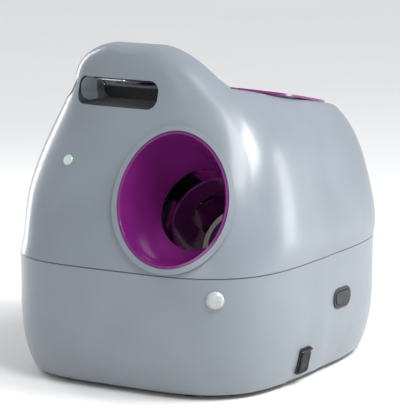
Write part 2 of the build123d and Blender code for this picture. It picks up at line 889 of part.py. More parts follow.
nose_radius = 5.0
motor_tail = gear_plate_x[0] - motor_length
with BuildPart() as motor:
    add(cross_rod(motor_tail, gear_plate_x[0], motor_place, motor_diameter / 2))
    add(cross_rod(gear_plate_x[0], gear_plate_x[1] - hidden_gap, motor_place, nose_radius))
    motor_bore = motor_shaft_radius + running_clearance
    add(cross_rod(gear_plate_x[0] - 1, gear_plate_x[1], motor_place, motor_bore), mode=Mode.SUBTRACT)
    add(cross_rod(motor_tail - 2, motor_tail, motor_place, nose_radius))
write(motor, "motor")

lug_radius = 6.0
thread_depth = 4.0
with BuildPart() as gearbox_plate:
    with BuildSketch(side_plane(gear_plate_x[1])):
        with Locations(*post_places):
            Circle(lug_radius)
        with Locations(motor_place):
            Circle(motor_diameter / 2)
        make_hull()
        with Locations(*post_places):
            Circle(gearbox_screw_radius, mode=Mode.SUBTRACT)
        with Locations(motor_place):
            Circle(nose_radius, mode=Mode.SUBTRACT)
        with Locations(drive_place):
            Circle(shaft_bore, mode=Mode.SUBTRACT)
        with Locations(idler_place):
            Circle(idler_pin_radius, mode=Mode.SUBTRACT)
    extrude(amount=gear_plate_thickness)
write(gearbox_plate, "gearbox_plate")

with BuildPart() as gearbox_posts:
    for place in post_places:
        add(cross_rod(gear_plate_x[1], left_cheek[0], place, post_radius))
        screw_hole = cross_rod(gear_plate_x[1], left_cheek[0] - thread_depth, place, gearbox_screw_radius)
        add(screw_hole, mode=Mode.SUBTRACT)
write(gearbox_posts, "gearbox_posts")

with BuildPart() as gearbox_screws:
    for place in post_places:
        add(cross_rod(gear_plate_x[0], left_cheek[0] - thread_depth, place, gearbox_screw_radius))
        add(cross_rod(gear_plate_x[0] - 2, gear_plate_x[0], place, 2 * gearbox_screw_radius))
write(gearbox_screws, "gearbox_screws")

# ---- frame that carries the barrel ----

left_leg = (left_cheek[0] - washer_thickness - leg_thickness, left_cheek[0] - washer_thickness)
right_leg = (right_cheek[1] + washer_thickness, right_cheek[1] + washer_thickness + leg_thickness)
leg_y = (pivot_y + leg_front, pivot_y + leg_rear)
flange_top = floor_z + flange_thickness


def leg(x_range):
    upright_part = block(x_range, leg_y, (floor_z, pivot_z))
    middle = (leg_y[0] + leg_y[1]) / 2
    top = rod(*x_range, middle, pivot_z, (leg_y[1] - leg_y[0]) / 2)
    return upright_part + top


with BuildPart() as barrel_frame:
    add(leg(left_leg))
    add(leg(right_leg))
    add(block((left_leg[0], right_leg[1]), leg_y, (floor_z, flange_top)))
    add(rod(left_leg[0] - 1, right_leg[1] + 1, pivot_y, pivot_z, pin_radius), mode=Mode.SUBTRACT)
    for place in frame_screws:
        add(upright(*place, screw_radius, 0, far), mode=Mode.SUBTRACT)
write(barrel_frame, "barrel_frame")

with BuildPart() as frame_fasteners:
    for place in frame_screws:
        add(upright(*place, screw_radius, foot_height + 1, flange_top))
        add(upright(*place, screw_head_radius, flange_top, flange_top + screw_head_height))
write(frame_fasteners, "frame_fasteners")

pin_reach = 0.9
pin_head = 3.0
with BuildPart() as pivot_pins:
    add(rod(left_leg[0], barrel_left + pin_reach, pivot_y, pivot_z, pin_radius))
    add(rod(left_leg[0] - pin_head, left_leg[0], pivot_y, pivot_z, pin_radius + pin_head))
    add(rod(barrel_right - pin_reach, right_leg[1], pivot_y, pivot_z, pin_radius))
    add(rod(right_leg[1], right_leg[1] + pin_head, pivot_y, pivot_z, pin_radius + pin_head))
write(pivot_pins, "pivot_pins")

with BuildPart() as pivot_washers:
    for low, high in ((left_leg[1], left_cheek[0]), (right_cheek[1], right_leg[0])):
        add(rod(low + running_clearance, high - running_clearance, pivot_y, pivot_z, pin_radius + 4))
    add(rod(-far, far, pivot_y, pivot_z, pin_bore), mode=Mode.SUBTRACT)
write(pivot_washers, "pivot_washers")

# ---- range knob ----

knob_shaft_radius = knob_shaft_diameter / 2
knob_shaft_bore = knob_shaft_radius + running_clearance
knob_high_x = dial_face_x - 1.0
knob_low_x = knob_high_x - knob_depth
knob_front_wall = 5.0
with BuildPart() as knob_bush:
    add(rod(dial_face_x + 0.4, bush_inner_x, knob_y, knob_z, bush_radius))
    add(rod(dial_face_x - 1, bush_inner_x + 1, knob_y, knob_z, knob_shaft_bore), mode=Mode.SUBTRACT)
write(knob_bush, "knob_bush")

with BuildPart() as dial_plate:
    add(rod(dial_face_x, dial_face_x + 16, knob_y, knob_z, dial_diameter / 2))
    chamfer(dial_plate.faces().sort_by(Axis.X)[0].edges(), 1.5)
    add(housing_form(upper_stations, fit_gap), mode=Mode.SUBTRACT)
    add(housing_form(lower_stations, fit_gap), mode=Mode.SUBTRACT)
    add(rod(dial_face_x - 1, 0, knob_y, knob_z, bush_radius + fit_gap), mode=Mode.SUBTRACT)
write(dial_plate, "dial_plate")

flute_radius = 3.4
flute_stand_off = 2.2
pointer_length = knob_diameter / 3
pointer_width = 3.0
pointer_depth = 1.0
pointer_proud = 0.3
with BuildPart() as knob:
    add(rod(knob_low_x, knob_high_x, knob_y, knob_z, knob_diameter / 2))
    fillet(knob.faces().sort_by(Axis.X)[0].edges(), 3)
    with BuildSketch(Plane.YZ.offset(knob_low_x - 1)):
        with Locations((knob_y, knob_z)):
            with PolarLocations(knob_diameter / 2 + flute_stand_off, knob_flutes):
                Circle(flute_radius)
    extrude(amount=knob_depth - 3, mode=Mode.SUBTRACT)
    add(rod(knob_low_x + knob_front_wall, 0, knob_y, knob_z, knob_shaft_radius), mode=Mode.SUBTRACT)
    with BuildSketch(Plane.YZ.offset(knob_low_x)):
        with Locations((knob_y, knob_z + knob_diameter / 4)):
            SlotOverall(pointer_length, pointer_width, rotation=90)
    extrude(amount=pointer_depth, mode=Mode.SUBTRACT)
write(knob, "knob")

with BuildPart() as knob_pointer:
    with BuildSketch(Plane.YZ.offset(knob_low_x - pointer_proud)):
        with Locations((knob_y, knob_z + knob_diameter / 4)):
            SlotOverall(pointer_length, pointer_width, rotation=90)
    extrude(amount=pointer_depth + pointer_proud)
write(knob_pointer, "knob_pointer")

knob_pinion_first = arc_middle + pi + pi / knob_pinion_teeth
with BuildPart() as knob_shaft:
    add(rod(knob_low_x + knob_front_wall, knob_pinion_x[1] + 1, knob_y, knob_z, knob_shaft_radius))
    pinion_points = tooth_points(
        knob_pinion_teeth, knob_module, knob_place, knob_pinion_first, knob_pinion_teeth
    )
    add(side_plate(*knob_pinion_x, pinion_points))
write(knob_shaft, "knob_shaft")

bracket_thickness = 4.0
bracket_half = 10.0
bracket_foot = 3.0
bracket_x = (motor_tail - 2 * bracket_thickness, motor_tail - bracket_thickness)
bracket_y = (knob_y - bracket_half, knob_y + bracket_half)
with BuildPart() as shaft_bracket:
    add(block(bracket_x, bracket_y, (box_top, knob_z)))
    add(rod(*bracket_x, knob_y, knob_z, bracket_half))
    add(block((bracket_x[0] - bracket_half, bracket_x[1]), bracket_y, (box_top, box_top + bracket_foot)))
    add(rod(bracket_x[0] - 1, bracket_x[1] + 1, knob_y, knob_z, knob_shaft_bore), mode=Mode.SUBTRACT)
write(shaft_bracket, "shaft_bracket")

# ---- batteries ----

cell_columns = (box_x - column_pitch / 2, box_x + column_pitch / 2)
cell_can = 59.5
cell_button_radius = 4.75
cells_low_y = -cells_per_column * cell_length / 2 - contact_spring_length / 2

with BuildPart() as battery_box:
    outer_x = (door_hole_x[0] - box_wall, door_hole_x[1] + box_wall)
    outer_y = (door_hole_y[0] - box_wall, door_hole_y[1] + box_wall)
    add(block(outer_x, outer_y, (floor_z, box_top)))
    add(block(door_hole_x, door_hole_y, (floor_z, box_top - box_wall)), mode=Mode.SUBTRACT)
    add(block((box_x - box_wall / 2, box_x + box_wall / 2), door_hole_y, (floor_z + 1, box_top - box_wall)))
write(battery_box, "battery_box")

for column in (0, 1):
    for row in range(cells_per_column):
        low = cells_low_y + row * cell_length
        x = cell_columns[column]
        with BuildPart() as cell:
            if column == 0:
                start = low + contact_spring_length
                add(shaft_along_y(x, cell_z, cell_diameter / 2, start, start + cell_can))
                add(shaft_along_y(x, cell_z, cell_button_radius, start + cell_can, start + cell_length))
            else:
                start = low + cell_length - cell_can
                add(shaft_along_y(x, cell_z, cell_button_radius, low, start))
                add(shaft_along_y(x, cell_z, cell_diameter / 2, start, low + cell_length))
            fillet(cell.edges().filter_by(GeomType.CIRCLE).group_by(SortBy.RADIUS)[-1], 1)
        write(cell, f"cell_{3 * column + row + 1}")

contact_spring_turns = 4
contact_spring_wire = 0.9
contact_spring_radius = 9.0


def contact_spring(x, y_from, toward):
    """A conical spring that stands on a contact plate and presses on a cell."""
    start = y_from + toward * contact_spring_wire / 2
    height = contact_spring_length - contact_spring_wire
    with BuildPart() as coil:
        with BuildLine() as path:
            Helix(
                pitch=height / contact_spring_turns,
                height=height,
                radius=contact_spring_radius,
                center=(x, start, cell_z),
                direction=(0, toward, 0),
                cone_angle=-30,
            )
        with BuildSketch(path.line ^ 0):
            Circle(contact_spring_wire / 2)
        sweep(path=path.line, is_frenet=True)
    return coil.part


with BuildPart() as battery_springs:
    add(contact_spring(cell_columns[0], -box_half_y + contact_thickness, 1))
    add(contact_spring(cell_columns[1], box_half_y - contact_thickness, -1))
write(battery_springs, "battery_springs")

spring_plate_half = 11.0
flat_plate_half = 9.0
contact_z = (cell_z - spring_plate_half, cell_z + spring_plate_half)
with BuildPart() as battery_contacts:
    for near, across, side in ((*cell_columns, -1), (*reversed(cell_columns), 1)):
        y_range = sorted((side * box_half_y, side * (box_half_y - contact_thickness)))
        add(block((near - spring_plate_half, near + spring_plate_half), y_range, contact_z))
        add(block((across - flat_plate_half, across + flat_plate_half), y_range, contact_z))
write(battery_contacts, "battery_contacts")

door_x = (hinge_x, door_hole_x[1] - door_clearance)
door_y = (door_hole_y[0] + door_clearance, door_hole_y[1] - door_clearance)
thumb_length = 26.0
thumb_width = 8.0
with BuildPart() as battery_door:
    add(block(door_x, door_y, (door_z - door_edge, door_z + door_edge)))
    add(shaft_along_y(hinge_x, door_z, door_edge, *door_y))
    add(shaft_along_y(hinge_x, door_z, hinge_peg, door_y[0] - hinge_peg_length, door_y[1] + hinge_peg_length))
    with BuildSketch(Plane.XY.offset(door_z - door_edge)):
        with Locations((door_x[1] - thumb_width, 0)):
            SlotOverall(thumb_length, thumb_width, rotation=90)
    extrude(amount=1, mode=Mode.SUBTRACT)
write(battery_door, "battery_door")

# ---- feet and case screws ----

with BuildPart() as rubber_feet:
    for place in foot_places:
        add(upright(*place, foot_radius, 0, foot_height))
    chamfer(rubber_feet.faces().group_by(Axis.Z)[0].edges(), foot_chamfer)
write(rubber_feet, "rubber_feet")

with BuildPart() as case_screws:
    for place in boss_places:
        add(upright(*place, screw_radius, screw_seat_z, seam_height + screw_grip))
        add(upright(*place, screw_head_radius, screw_seat_z - screw_head_height, screw_seat_z))
write(case_screws, "case_screws")

# ---- power inlet with its cover ----

jack_frame_wall = 2.4
jack_lip = 1.2
jack_depth = 10.0
cover_thickness = 2.0
cover_hinge_radius = 1.2
cover_hinge_gap = 0.1
cover_width = jack_width - 1
lug_width = 2.5
cover_pin_radius = 0.6
cover_hinge_y = jack_height / 2 - 1.2
cover_hinge_out = jack_lip + cover_hinge_gap + cover_hinge_radius
cover_hinge = Plane(
    origin=tuple(jack_plane.from_local_coords((0, cover_hinge_y, cover_hinge_out))),
    x_dir=jack_plane.z_dir,
    z_dir=(0, 1, 0),
)


def cover_rod(low, high, radius):
    """A cylinder on the cover's hinge line."""
    with BuildPart() as piece:
        with BuildSketch(cover_hinge.offset(low)):
            Circle(radius)
        extrude(amount=high - low)
    return piece.part


hinge_half = cover_width / 2 - lug_width
with BuildPart() as jack_frame:
    add(pad_block(jack_plane, -jack_depth, 0, jack_width - 2 * fit_gap, jack_height - 2 * fit_gap, 1.8))
    lip = pad_block(jack_plane, -2, jack_lip, jack_width + 2, jack_height + 2, 3)
    add(lip - housing_form(lower_stations, running_clearance))
    for side in (-1, 1):
        low, high = sorted((side * (hinge_half + 0.2), side * cover_width / 2))
        add(cover_rod(low, high, cover_hinge_radius + cover_hinge_gap))
        with BuildSketch(jack_plane.offset(jack_lip)):
            with Locations(((low + high) / 2, cover_hinge_y)):
                Rectangle(high - low, 2 * cover_hinge_radius)
        extrude(amount=cover_hinge_radius)
    add(cover_rod(-far, far, cover_pin_radius + running_clearance), mode=Mode.SUBTRACT)
    hole = pad_block(
        jack_plane.shift_origin(jack_plane.from_local_coords((0, -2, 0))),
        -jack_depth - 1,
        far,
        jack_width - 2 * jack_frame_wall,
        jack_height - 3 * jack_frame_wall,
        1,
    )
    add(hole, mode=Mode.SUBTRACT)
write(jack_frame, "jack_frame")

cover_low = -jack_height / 2
cover_high = cover_hinge_y - cover_hinge_radius - 0.4
with BuildPart() as jack_cover:
    with BuildSketch(jack_plane.offset(jack_lip + cover_hinge_gap)):
        with Locations((0, (cover_low + cover_high) / 2)):
            RectangleRounded(cover_width, cover_high - cover_low, 1.5)
        with Locations((0, cover_high)):
            Rectangle(2 * hinge_half, 2.4)
    extrude(amount=cover_thickness)
    add(cover_rod(-hinge_half, hinge_half, cover_hinge_radius))
    add(cover_rod(-far, far, cover_pin_radius), mode=Mode.SUBTRACT)
write(jack_cover, "jack_cover")

with BuildPart() as cover_pin:
    add(cover_rod(-cover_width / 2, cover_width / 2, cover_pin_radius))
write(cover_pin, "cover_pin")

socket_radius = 4.2
socket_bore = 2.8
socket_pin = 1.0
socket_plane = jack_plane.shift_origin(jack_plane.from_local_coords((0, -2, 0)))
with BuildPart() as power_socket:
    add(pad_block(socket_plane, -jack_depth - 6, -jack_depth, jack_width - 4, jack_height - 6, 1))
    add(peg(socket_plane, -jack_depth, -2, socket_radius))
    add(peg(socket_plane, -jack_depth, -2, socket_bore), mode=Mode.SUBTRACT)
    add(peg(socket_plane, -jack_depth, -3, socket_pin))
write(power_socket, "power_socket")

# ---- power button ----

cap_width = 26.0
cap_height = 12.0
cap_gap = 0.15
bezel_depth = 12.0
bezel_lip = 0.7
cap_rise = 1.6
cap_back = -6.0

with BuildPart() as button_bezel:
    tube_width = bezel_width - 2 * fit_gap
    tube_height = bezel_height - 2 * fit_gap
    add(pad_block(button_plane, -bezel_depth, bezel_lip, tube_width, tube_height, tube_height / 2 - 0.1))
    add(pad_block(button_plane, 0, bezel_lip, bezel_width + 2, bezel_height + 2, bezel_height / 2 + 0.9))
    opening_width = cap_width + 2 * cap_gap
    opening_height = cap_height + 2 * cap_gap
    opening_corner = opening_height / 2 - 0.1
    opening = pad_block(button_plane, -bezel_depth - 1, far, opening_width, opening_height, opening_corner)
    add(opening, mode=Mode.SUBTRACT)
write(button_bezel, "button_bezel")

with BuildPart() as power_button:
    add(pad_block(button_plane, cap_back, cap_rise, cap_width, cap_height, cap_height / 2 - 0.1))
    fillet(power_button.faces().sort_by(Axis.X)[-1].edges(), 0.8)
write(power_button, "power_button")

switch_depth = 8.0
with BuildPart() as button_switch:
    plunger_high = cap_back - button_travel - hidden_gap
    switch_high = plunger_high - 2
    carrier_low = -bezel_depth - board_thickness
    add(pad_block(button_plane, switch_high, plunger_high, 5, 5, 1))
    add(pad_block(button_plane, switch_high - switch_depth, switch_high, 14, 9, 0.5))
    add(pad_block(button_plane, carrier_low, -bezel_depth, bezel_width, bezel_height, 1))
write(button_switch, "button_switch")

# ---- control board, sensor, light and speaker ----

board_top = board_z + board_thickness
with BuildPart() as control_board:
    add(block(board_x, board_y, (board_z, board_top)))
    for place in board_posts:
        add(upright(*place, board_screw_radius, 0, far), mode=Mode.SUBTRACT)
write(control_board, "control_board")

board_mid = (board_x[0] + board_x[1]) / 2
plug_y = (board_y[1] - 10, board_y[1] - 2)
capacitor_radius = 4.0
capacitor_height = 11.0
capacitor_pitch = 11.0

# The controller chip, the relay and two cable plugs: x, y and height over the board.
board_blocks = [
    ((board_mid - 7, board_mid + 7), (board_y[0] + 14, board_y[0] + 28), 2.2),
    ((board_x[0] + 12, board_x[0] + 22), (board_y[0] + 4, board_y[0] + 19), 12),
    ((board_x[0] + 14, board_x[0] + 28), plug_y, 7),
    ((board_x[1] - 30, board_x[1] - 14), plug_y, 7),
]

with BuildPart() as board_parts:
    for x, y, height in board_blocks:
        add(block(x, y, (board_top, board_top + height)))
    for step in range(3):
        x = board_x[1] - 12 - capacitor_pitch * step
        add(upright(x, board_y[0] + 7, capacitor_radius, board_top, board_top + capacitor_height))
write(board_parts, "board_parts")

with BuildPart() as board_screws:
    for place in board_posts:
        add(upright(*place, 2 * board_screw_radius, board_top, board_top + board_screw_head))
        add(upright(*place, board_screw_radius, board_z, board_top))
write(board_screws, "board_screws")

lens_seat = -4.0
lens_steps = ((0.5, lens_radius - fit_gap), (2.6, 0.8 * lens_radius), (3.8, 0.42 * lens_radius))
with BuildPart() as sensor_lens:
    add(peg(sensor_plane, lens_seat, *lens_steps[0]))
    for height, radius in lens_steps:
        with BuildSketch(sensor_plane.offset(height)):
            Circle(radius)
    loft()
write(sensor_lens, "sensor_lens")

sensor_can = 5.0
with BuildPart() as sensor_unit:
    can_low = lens_seat - sensor_can
    add(peg(sensor_plane, can_low, lens_seat, sensor_can))
    add(pad_block(sensor_plane, can_low - board_thickness, can_low, 26, 22, 1))
write(sensor_unit, "sensor_unit")

light_depth = 7.0
light_rise = 0.8
light_rounding = 0.7
light_flange = 4.0
with BuildPart() as status_light:
    add(peg(status_plane, -light_depth, light_rise, light_radius - fit_gap))
    fillet(status_light.edges().sort_by(Axis.Y)[0], light_rounding)
    add(peg(status_plane, -light_depth - board_thickness, -light_depth, light_radius + light_flange))
write(status_light, "status_light")

grille_face_y = housing_length / 2 + 0.6
grille_depth = 5.0
with BuildPart() as speaker_grille:
    add(shaft_along_y(speaker_x, speaker_z, grille_radius, grille_face_y - grille_depth, grille_face_y))
    fillet(speaker_grille.faces().sort_by(Axis.Y)[-1].edges(), 0.5)
    hollow_low = grille_face_y - grille_depth
    hollow_high = grille_face_y - 2
    add(shaft_along_y(speaker_x, speaker_z, grille_radius - 2, hollow_low, hollow_high), mode=Mode.SUBTRACT)
    with BuildSketch(Plane.XZ.offset(-far)):
        with Locations((speaker_x, speaker_z)):
            Circle(grille_hole_radius)
        for ring in (1, 2, 3):
            with Locations((speaker_x, speaker_z)):
                with PolarLocations(ring * grille_pitch, 6 * ring):
                    Circle(grille_hole_radius)
    extrude(amount=far, mode=Mode.SUBTRACT)
write(speaker_grille, "speaker_grille")

speaker_depth = 14.0
with BuildPart() as speaker:
    front = grille_face_y - grille_depth
    add(shaft_along_y(speaker_x, speaker_z, grille_radius, front - 4, front))
    add(shaft_along_y(speaker_x, speaker_z, grille_radius / 2, front - speaker_depth, front - 4))
    chamfer(speaker.faces().sort_by(Axis.Y)[0].edges(), 1)
write(speaker, "speaker")

sensor_block = 12.0
throat_outer = throat_radius + 1 + liner_wall
with BuildPart() as ball_sensors:
    for side in (-1, 1):
        low, high = sorted((barrel_x + side * (throat_outer - 2), barrel_x + side * (throat_outer + 5)))
        y_range = (throat_y - sensor_block / 2, throat_y + sensor_block / 2)
        add(block((low, high), y_range, (sensor_beam_z - sensor_block / 2, sensor_beam_z + sensor_block / 2)))
    add(upright(barrel_x, throat_y, throat_outer, 0, far), mode=Mode.SUBTRACT)
write(ball_sensors, "ball_sensors")
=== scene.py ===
import json
import math

import bmesh
import bpy
import numpy as np
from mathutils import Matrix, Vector, kdtree


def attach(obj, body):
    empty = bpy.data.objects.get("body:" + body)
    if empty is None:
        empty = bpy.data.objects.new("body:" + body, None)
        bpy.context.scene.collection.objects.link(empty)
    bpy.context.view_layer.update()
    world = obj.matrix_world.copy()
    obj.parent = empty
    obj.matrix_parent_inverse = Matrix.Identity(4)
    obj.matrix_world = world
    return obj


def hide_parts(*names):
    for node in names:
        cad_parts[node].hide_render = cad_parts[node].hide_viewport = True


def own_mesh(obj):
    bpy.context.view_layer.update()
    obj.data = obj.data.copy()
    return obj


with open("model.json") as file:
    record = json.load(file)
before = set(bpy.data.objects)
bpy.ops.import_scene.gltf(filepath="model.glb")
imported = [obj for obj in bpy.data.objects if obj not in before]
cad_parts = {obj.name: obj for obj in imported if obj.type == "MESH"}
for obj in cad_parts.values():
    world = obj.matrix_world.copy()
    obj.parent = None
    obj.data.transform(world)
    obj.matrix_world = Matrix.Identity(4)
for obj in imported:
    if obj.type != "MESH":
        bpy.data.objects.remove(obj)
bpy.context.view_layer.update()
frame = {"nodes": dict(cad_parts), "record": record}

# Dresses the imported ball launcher. Metres, the same frame as the CAD: +Z up, -Y the front with the port.

nodes = frame["nodes"]
slotOf = {part["node"]: part["material_slot"] for part in frame["record"]["subparts"]}


class Shade:
    # One material being built. The shader is its Principled BSDF, and place is the object's own coordinates.
    def __init__(self, name):
        self.material = bpy.data.materials.new(name)
        self.material.use_nodes = True
        self.tree = self.material.node_tree
        self.shader = next(n for n in self.tree.nodes if n.type == "BSDF_PRINCIPLED")
        self.place = self.tree.nodes.new("ShaderNodeTexCoord").outputs["Object"]

    # A node of one kind, with the values of its inputs and its settings.
    def add(self, kind, inputs=(), **settings):
        node = self.tree.nodes.new(kind)
        for key, value in settings.items():
            setattr(node, key, value)
        for key, value in dict(inputs).items():
            node.inputs[key].default_value = value
        return node

    # Joins an output to an input.
    def link(self, source, target):
        self.tree.links.new(source, target)

    # Fractal noise between about 0 and 1. Scale is features per metre, and stretch multiplies the axes.
    def noise(self, scale, detail=3.0, rough=0.5, stretch=None):
        node = self.add("ShaderNodeTexNoise", {"Scale": scale, "Detail": detail, "Roughness": rough})
        source = self.place
        if stretch:
            mapping = self.add("ShaderNodeMapping", {"Scale": stretch})
            self.link(source, mapping.inputs["Vector"])
            source = mapping.outputs["Vector"]
        self.link(source, node.inputs["Vector"])
        return node.outputs["Fac"]

    # Distance to the nearest point of cell noise.
    def cells(self, scale, spread=1.0):
        node = self.add("ShaderNodeTexVoronoi", {"Scale": scale, "Randomness": spread})
        self.link(self.place, node.inputs["Vector"])
        return node.outputs["Distance"]

    # A straight line from (low, outLow) to (high, outHigh), held flat beyond both ends.
    def ramp(self, source, low, high, outLow, outHigh):
        ends = {"From Min": low, "From Max": high, "To Min": outLow, "To Max": outHigh}
        node = self.add("ShaderNodeMapRange", ends)
        self.link(source, node.inputs["Value"])
        return node.outputs["Result"]

    # first + share * (second - first), where first and second are colours or outputs.
    def mix(self, share, first, second):
        node = self.add("ShaderNodeMix", data_type="RGBA")
        for key, value in (("A", first), ("B", second)):
            socket = next(s for s in node.inputs if s.name == key and s.type == "RGBA")
            if isinstance(value, (tuple, list)):
                socket.default_value = (*value[:3], 1)
            else:
                self.link(value, socket)
        self.link(share, node.inputs[0])
        return next(s for s in node.outputs if s.type == "RGBA")

    # first (operation) second, where each is a number or an output.
    def math(self, operation, first, second):
        node = self.add("ShaderNodeMath", operation=operation)
        for index, value in enumerate((first, second)):
            if isinstance(value, (int, float)):
                node.inputs[index].default_value = value
            else:
                self.link(value, node.inputs[index])
        return node.outputs[0]

    # One of x, y, z of the object's coordinates.
    def axis(self, index):
        node = self.add("ShaderNodeSeparateXYZ")
        self.link(self.place, node.inputs[0])
        return node.outputs[index]

    # Adds a height to the surface's normal, on top of any bump that is there already.
    def bump(self, height, strength, distance):
        node = self.add("ShaderNodeBump", {"Strength": strength, "Distance": distance})
        self.link(height, node.inputs["Height"])
        old = self.shader.inputs["Normal"].links
        if old:
            self.link(old[0].from_socket, node.inputs["Normal"])
        self.link(node.outputs["Normal"], self.shader.inputs["Normal"])

    # Rounds the shading of hard edges. It comes before any bump, which is then laid over it.
    def softEdges(self, radius):
        node = self.add("ShaderNodeBevel", {"Radius": radius}, samples=6)
        self.link(node.outputs["Normal"], self.shader.inputs["Normal"])

    # Takes the shader's colour from an output.
    def colour(self, source):
        self.link(source, self.shader.inputs["Base Color"])

    # Takes the shader's roughness from an output.
    def roughness(self, source):
        self.link(source, self.shader.inputs["Roughness"])

    # Shader inputs with one value each. An underscore stands for a space.
    def fixed(self, **values):
        for key, value in values.items():
            self.shader.inputs[key.replace("_", " ")].default_value = value


# A ramp on a noise runs between these values.
midNoise = (0.3, 0.7)
plastic = {
    "drift": (0.35, 0.65), "scuffBand": (0.70, 0.78), "scuffStretch": (1.0, 1.0, 9.0), "scuffRough": 0.25,
    "dustScale": 70, "dustBand": (0.4, 0.75), "dustHeight": (0.004, 0.035), "dustColour": (0.30, 0.28, 0.25),
    "seamDepth": 0.0006, "patchScale": 6, "waveScale": 2.5, "wave": 0.12, "waveDepth": 0.0006,
}


# Moulded plastic. The colour drifts between two near tones, a fine spark texture makes the bump,
# and sparse stretched noise above a threshold makes hairline scuffs that are paler and rougher.
# A seam is a groove of bump in the band where the height is within its half width, with painted shade darkening its
# colour.
def mouldedPlastic(name, spec):
    shade = Shade(name)
    if "softEdge" in spec:
        shade.softEdges(spec["softEdge"])
    drift = shade.ramp(shade.noise(spec["driftScale"], detail=2.0), *plastic["drift"], 0, 1)
    tone = shade.mix(drift, spec["deep"], spec["light"])
    scuff = shade.noise(spec["scuffScale"], detail=4.0, rough=0.6, stretch=plastic["scuffStretch"])
    scuffShare = shade.ramp(scuff, *spec.get("scuffBand", plastic["scuffBand"]), 0, spec["scuff"])
    tone = shade.mix(scuffShare, tone, spec["worn"])
    if "floorDust" in spec:
        height = shade.ramp(shade.axis(2), *plastic["dustHeight"], 1, 0)
        dust = shade.noise(plastic["dustScale"], detail=5.0, rough=0.65)
        patch = shade.ramp(dust, *plastic["dustBand"], 0, spec["floorDust"])
        tone = shade.mix(shade.math("MULTIPLY", height, patch), tone, plastic["dustColour"])
    if "seam" in spec:
        fromSeam = shade.math("ABSOLUTE", shade.math("SUBTRACT", shade.axis(2), spec["seam"]), 0)
        groove = shade.ramp(fromSeam, spec["seamHalf"] * 0.5, spec["seamHalf"], 1, 0)
        # Painted shade: inside the groove the colour darkens to the seam's shade tone, standing in for its shadow.
        tone = shade.mix(groove, tone, spec["seamShadeTone"])
        shade.bump(shade.ramp(groove, 0, 1, 1, 0), 1.0, plastic["seamDepth"])
    shade.colour(tone)
    grain = shade.noise(spec["grainScale"], detail=2.0, rough=0.6)
    patches = shade.noise(spec["driftScale"] * plastic["patchScale"], detail=4.0, rough=0.6)
    rough = shade.ramp(patches, *midNoise, *spec["rough"])
    shade.roughness(shade.math("ADD", rough, shade.math("MULTIPLY", scuffShare, plastic["scuffRough"])))
    shade.bump(grain, spec["grain"], spec["grainDepth"])
    wave = shade.noise(spec["driftScale"] * plastic["waveScale"], detail=1.0)
    shade.bump(wave, plastic["wave"], plastic["waveDepth"])
    shade.fixed(**spec.get("fixed", {}))
    return shade.material


metal = {"stainScale": 90, "stainBand": (0.45, 0.75), "markDepth": 0.00008}


# Turned, drawn or plated metal. Noise stretched along one axis makes the tool marks.
def drawnMetal(name, spec):
    shade = Shade(name)
    marks = shade.noise(spec["markScale"], detail=4.0, rough=0.6, stretch=spec["stretch"])
    stain = shade.noise(metal["stainScale"], detail=5.0, rough=0.6)
    stain = shade.ramp(stain, *metal["stainBand"], 0, spec["stain"])
    tone = shade.mix(shade.ramp(marks, *midNoise, 0, 1), spec["deep"], spec["light"])
    shade.colour(shade.mix(stain, tone, spec["stainColour"]))
    shade.roughness(shade.ramp(marks, *midNoise, *spec["rough"]))
    shade.bump(marks, spec["bump"], metal["markDepth"])
    shade.fixed(Metallic=1.0)
    return shade.material


rubber = {"dustScale": 140, "dustBand": (0.45, 0.8), "pebbleDepth": 0.00025, "patchScale": 300}


# Rubber. A fine pebble from cell noise, greyed by dust where a slower noise is high.
def pebbledRubber(name, spec):
    shade = Shade(name)
    dust = shade.noise(rubber["dustScale"], detail=5.0, rough=0.7)
    dust = shade.ramp(dust, *rubber["dustBand"], 0, spec["dust"])
    shade.colour(shade.mix(dust, spec["deep"], spec["pale"]))
    shade.bump(shade.cells(spec["pebbleScale"]), spec["pebble"], rubber["pebbleDepth"])
    shade.roughness(shade.ramp(shade.noise(rubber["patchScale"]), *midNoise, *spec["rough"]))
    return shade.material


# A circuit board: solder mask over a square grid of raised traces, with tinned pads where both grids meet.
def circuitBoard(name, spec):
    shade = Shade(name)
    bricks = shade.add("ShaderNodeTexBrick", spec["traces"], offset=0.35, squash=0.6, squash_frequency=3)
    shade.link(shade.place, bricks.inputs["Vector"])
    pad = shade.ramp(shade.cells(spec["padScale"], spec["padSpread"]), *spec["padEdge"], 1, 0)
    shade.colour(shade.mix(pad, bricks.outputs["Color"], spec["tin"]))
    shade.link(pad, shade.shader.inputs["Metallic"])
    shade.roughness(shade.ramp(pad, 0, 1, *spec["rough"]))
    shade.bump(bricks.outputs["Fac"], spec["relief"], spec["reliefDepth"])
    return shade.material


# A dry cell lying along Y: bare steel at both ends, a plain dark film between them with one pale band.
# The share of the cell's length at a point is fraction((y + shift) / pitch).
def cellJacket(name, spec):
    shade = Shade(name)
    shifted = shade.math("ADD", shade.axis(1), spec["shift"])
    along = shade.math("FRACT", shade.math("DIVIDE", shifted, spec["pitch"]), 0)
    drift = shade.noise(spec["driftScale"], detail=2.0)
    film = shade.mix(shade.ramp(drift, *midNoise, 0, 1), spec["deep"], spec["light"])
    band = shade.math("COMPARE", along, spec["bandAt"])
    band.node.inputs[2].default_value = spec["bandHalf"]
    shade.colour(shade.mix(band, film, spec["band"]))
    shade.roughness(shade.ramp(shade.noise(spec["patchScale"], detail=2.0), *midNoise, *spec["rough"]))
    shade.bump(shade.noise(spec["waveScale"], detail=2.0), spec["wave"], spec["waveDepth"])
    shade.fixed(Metallic=spec["metallic"])
    return shade.material


clear = {"driftScale": 200, "patchScale": 900, "ripple": 0.15, "rippleDepth": 0.0002}


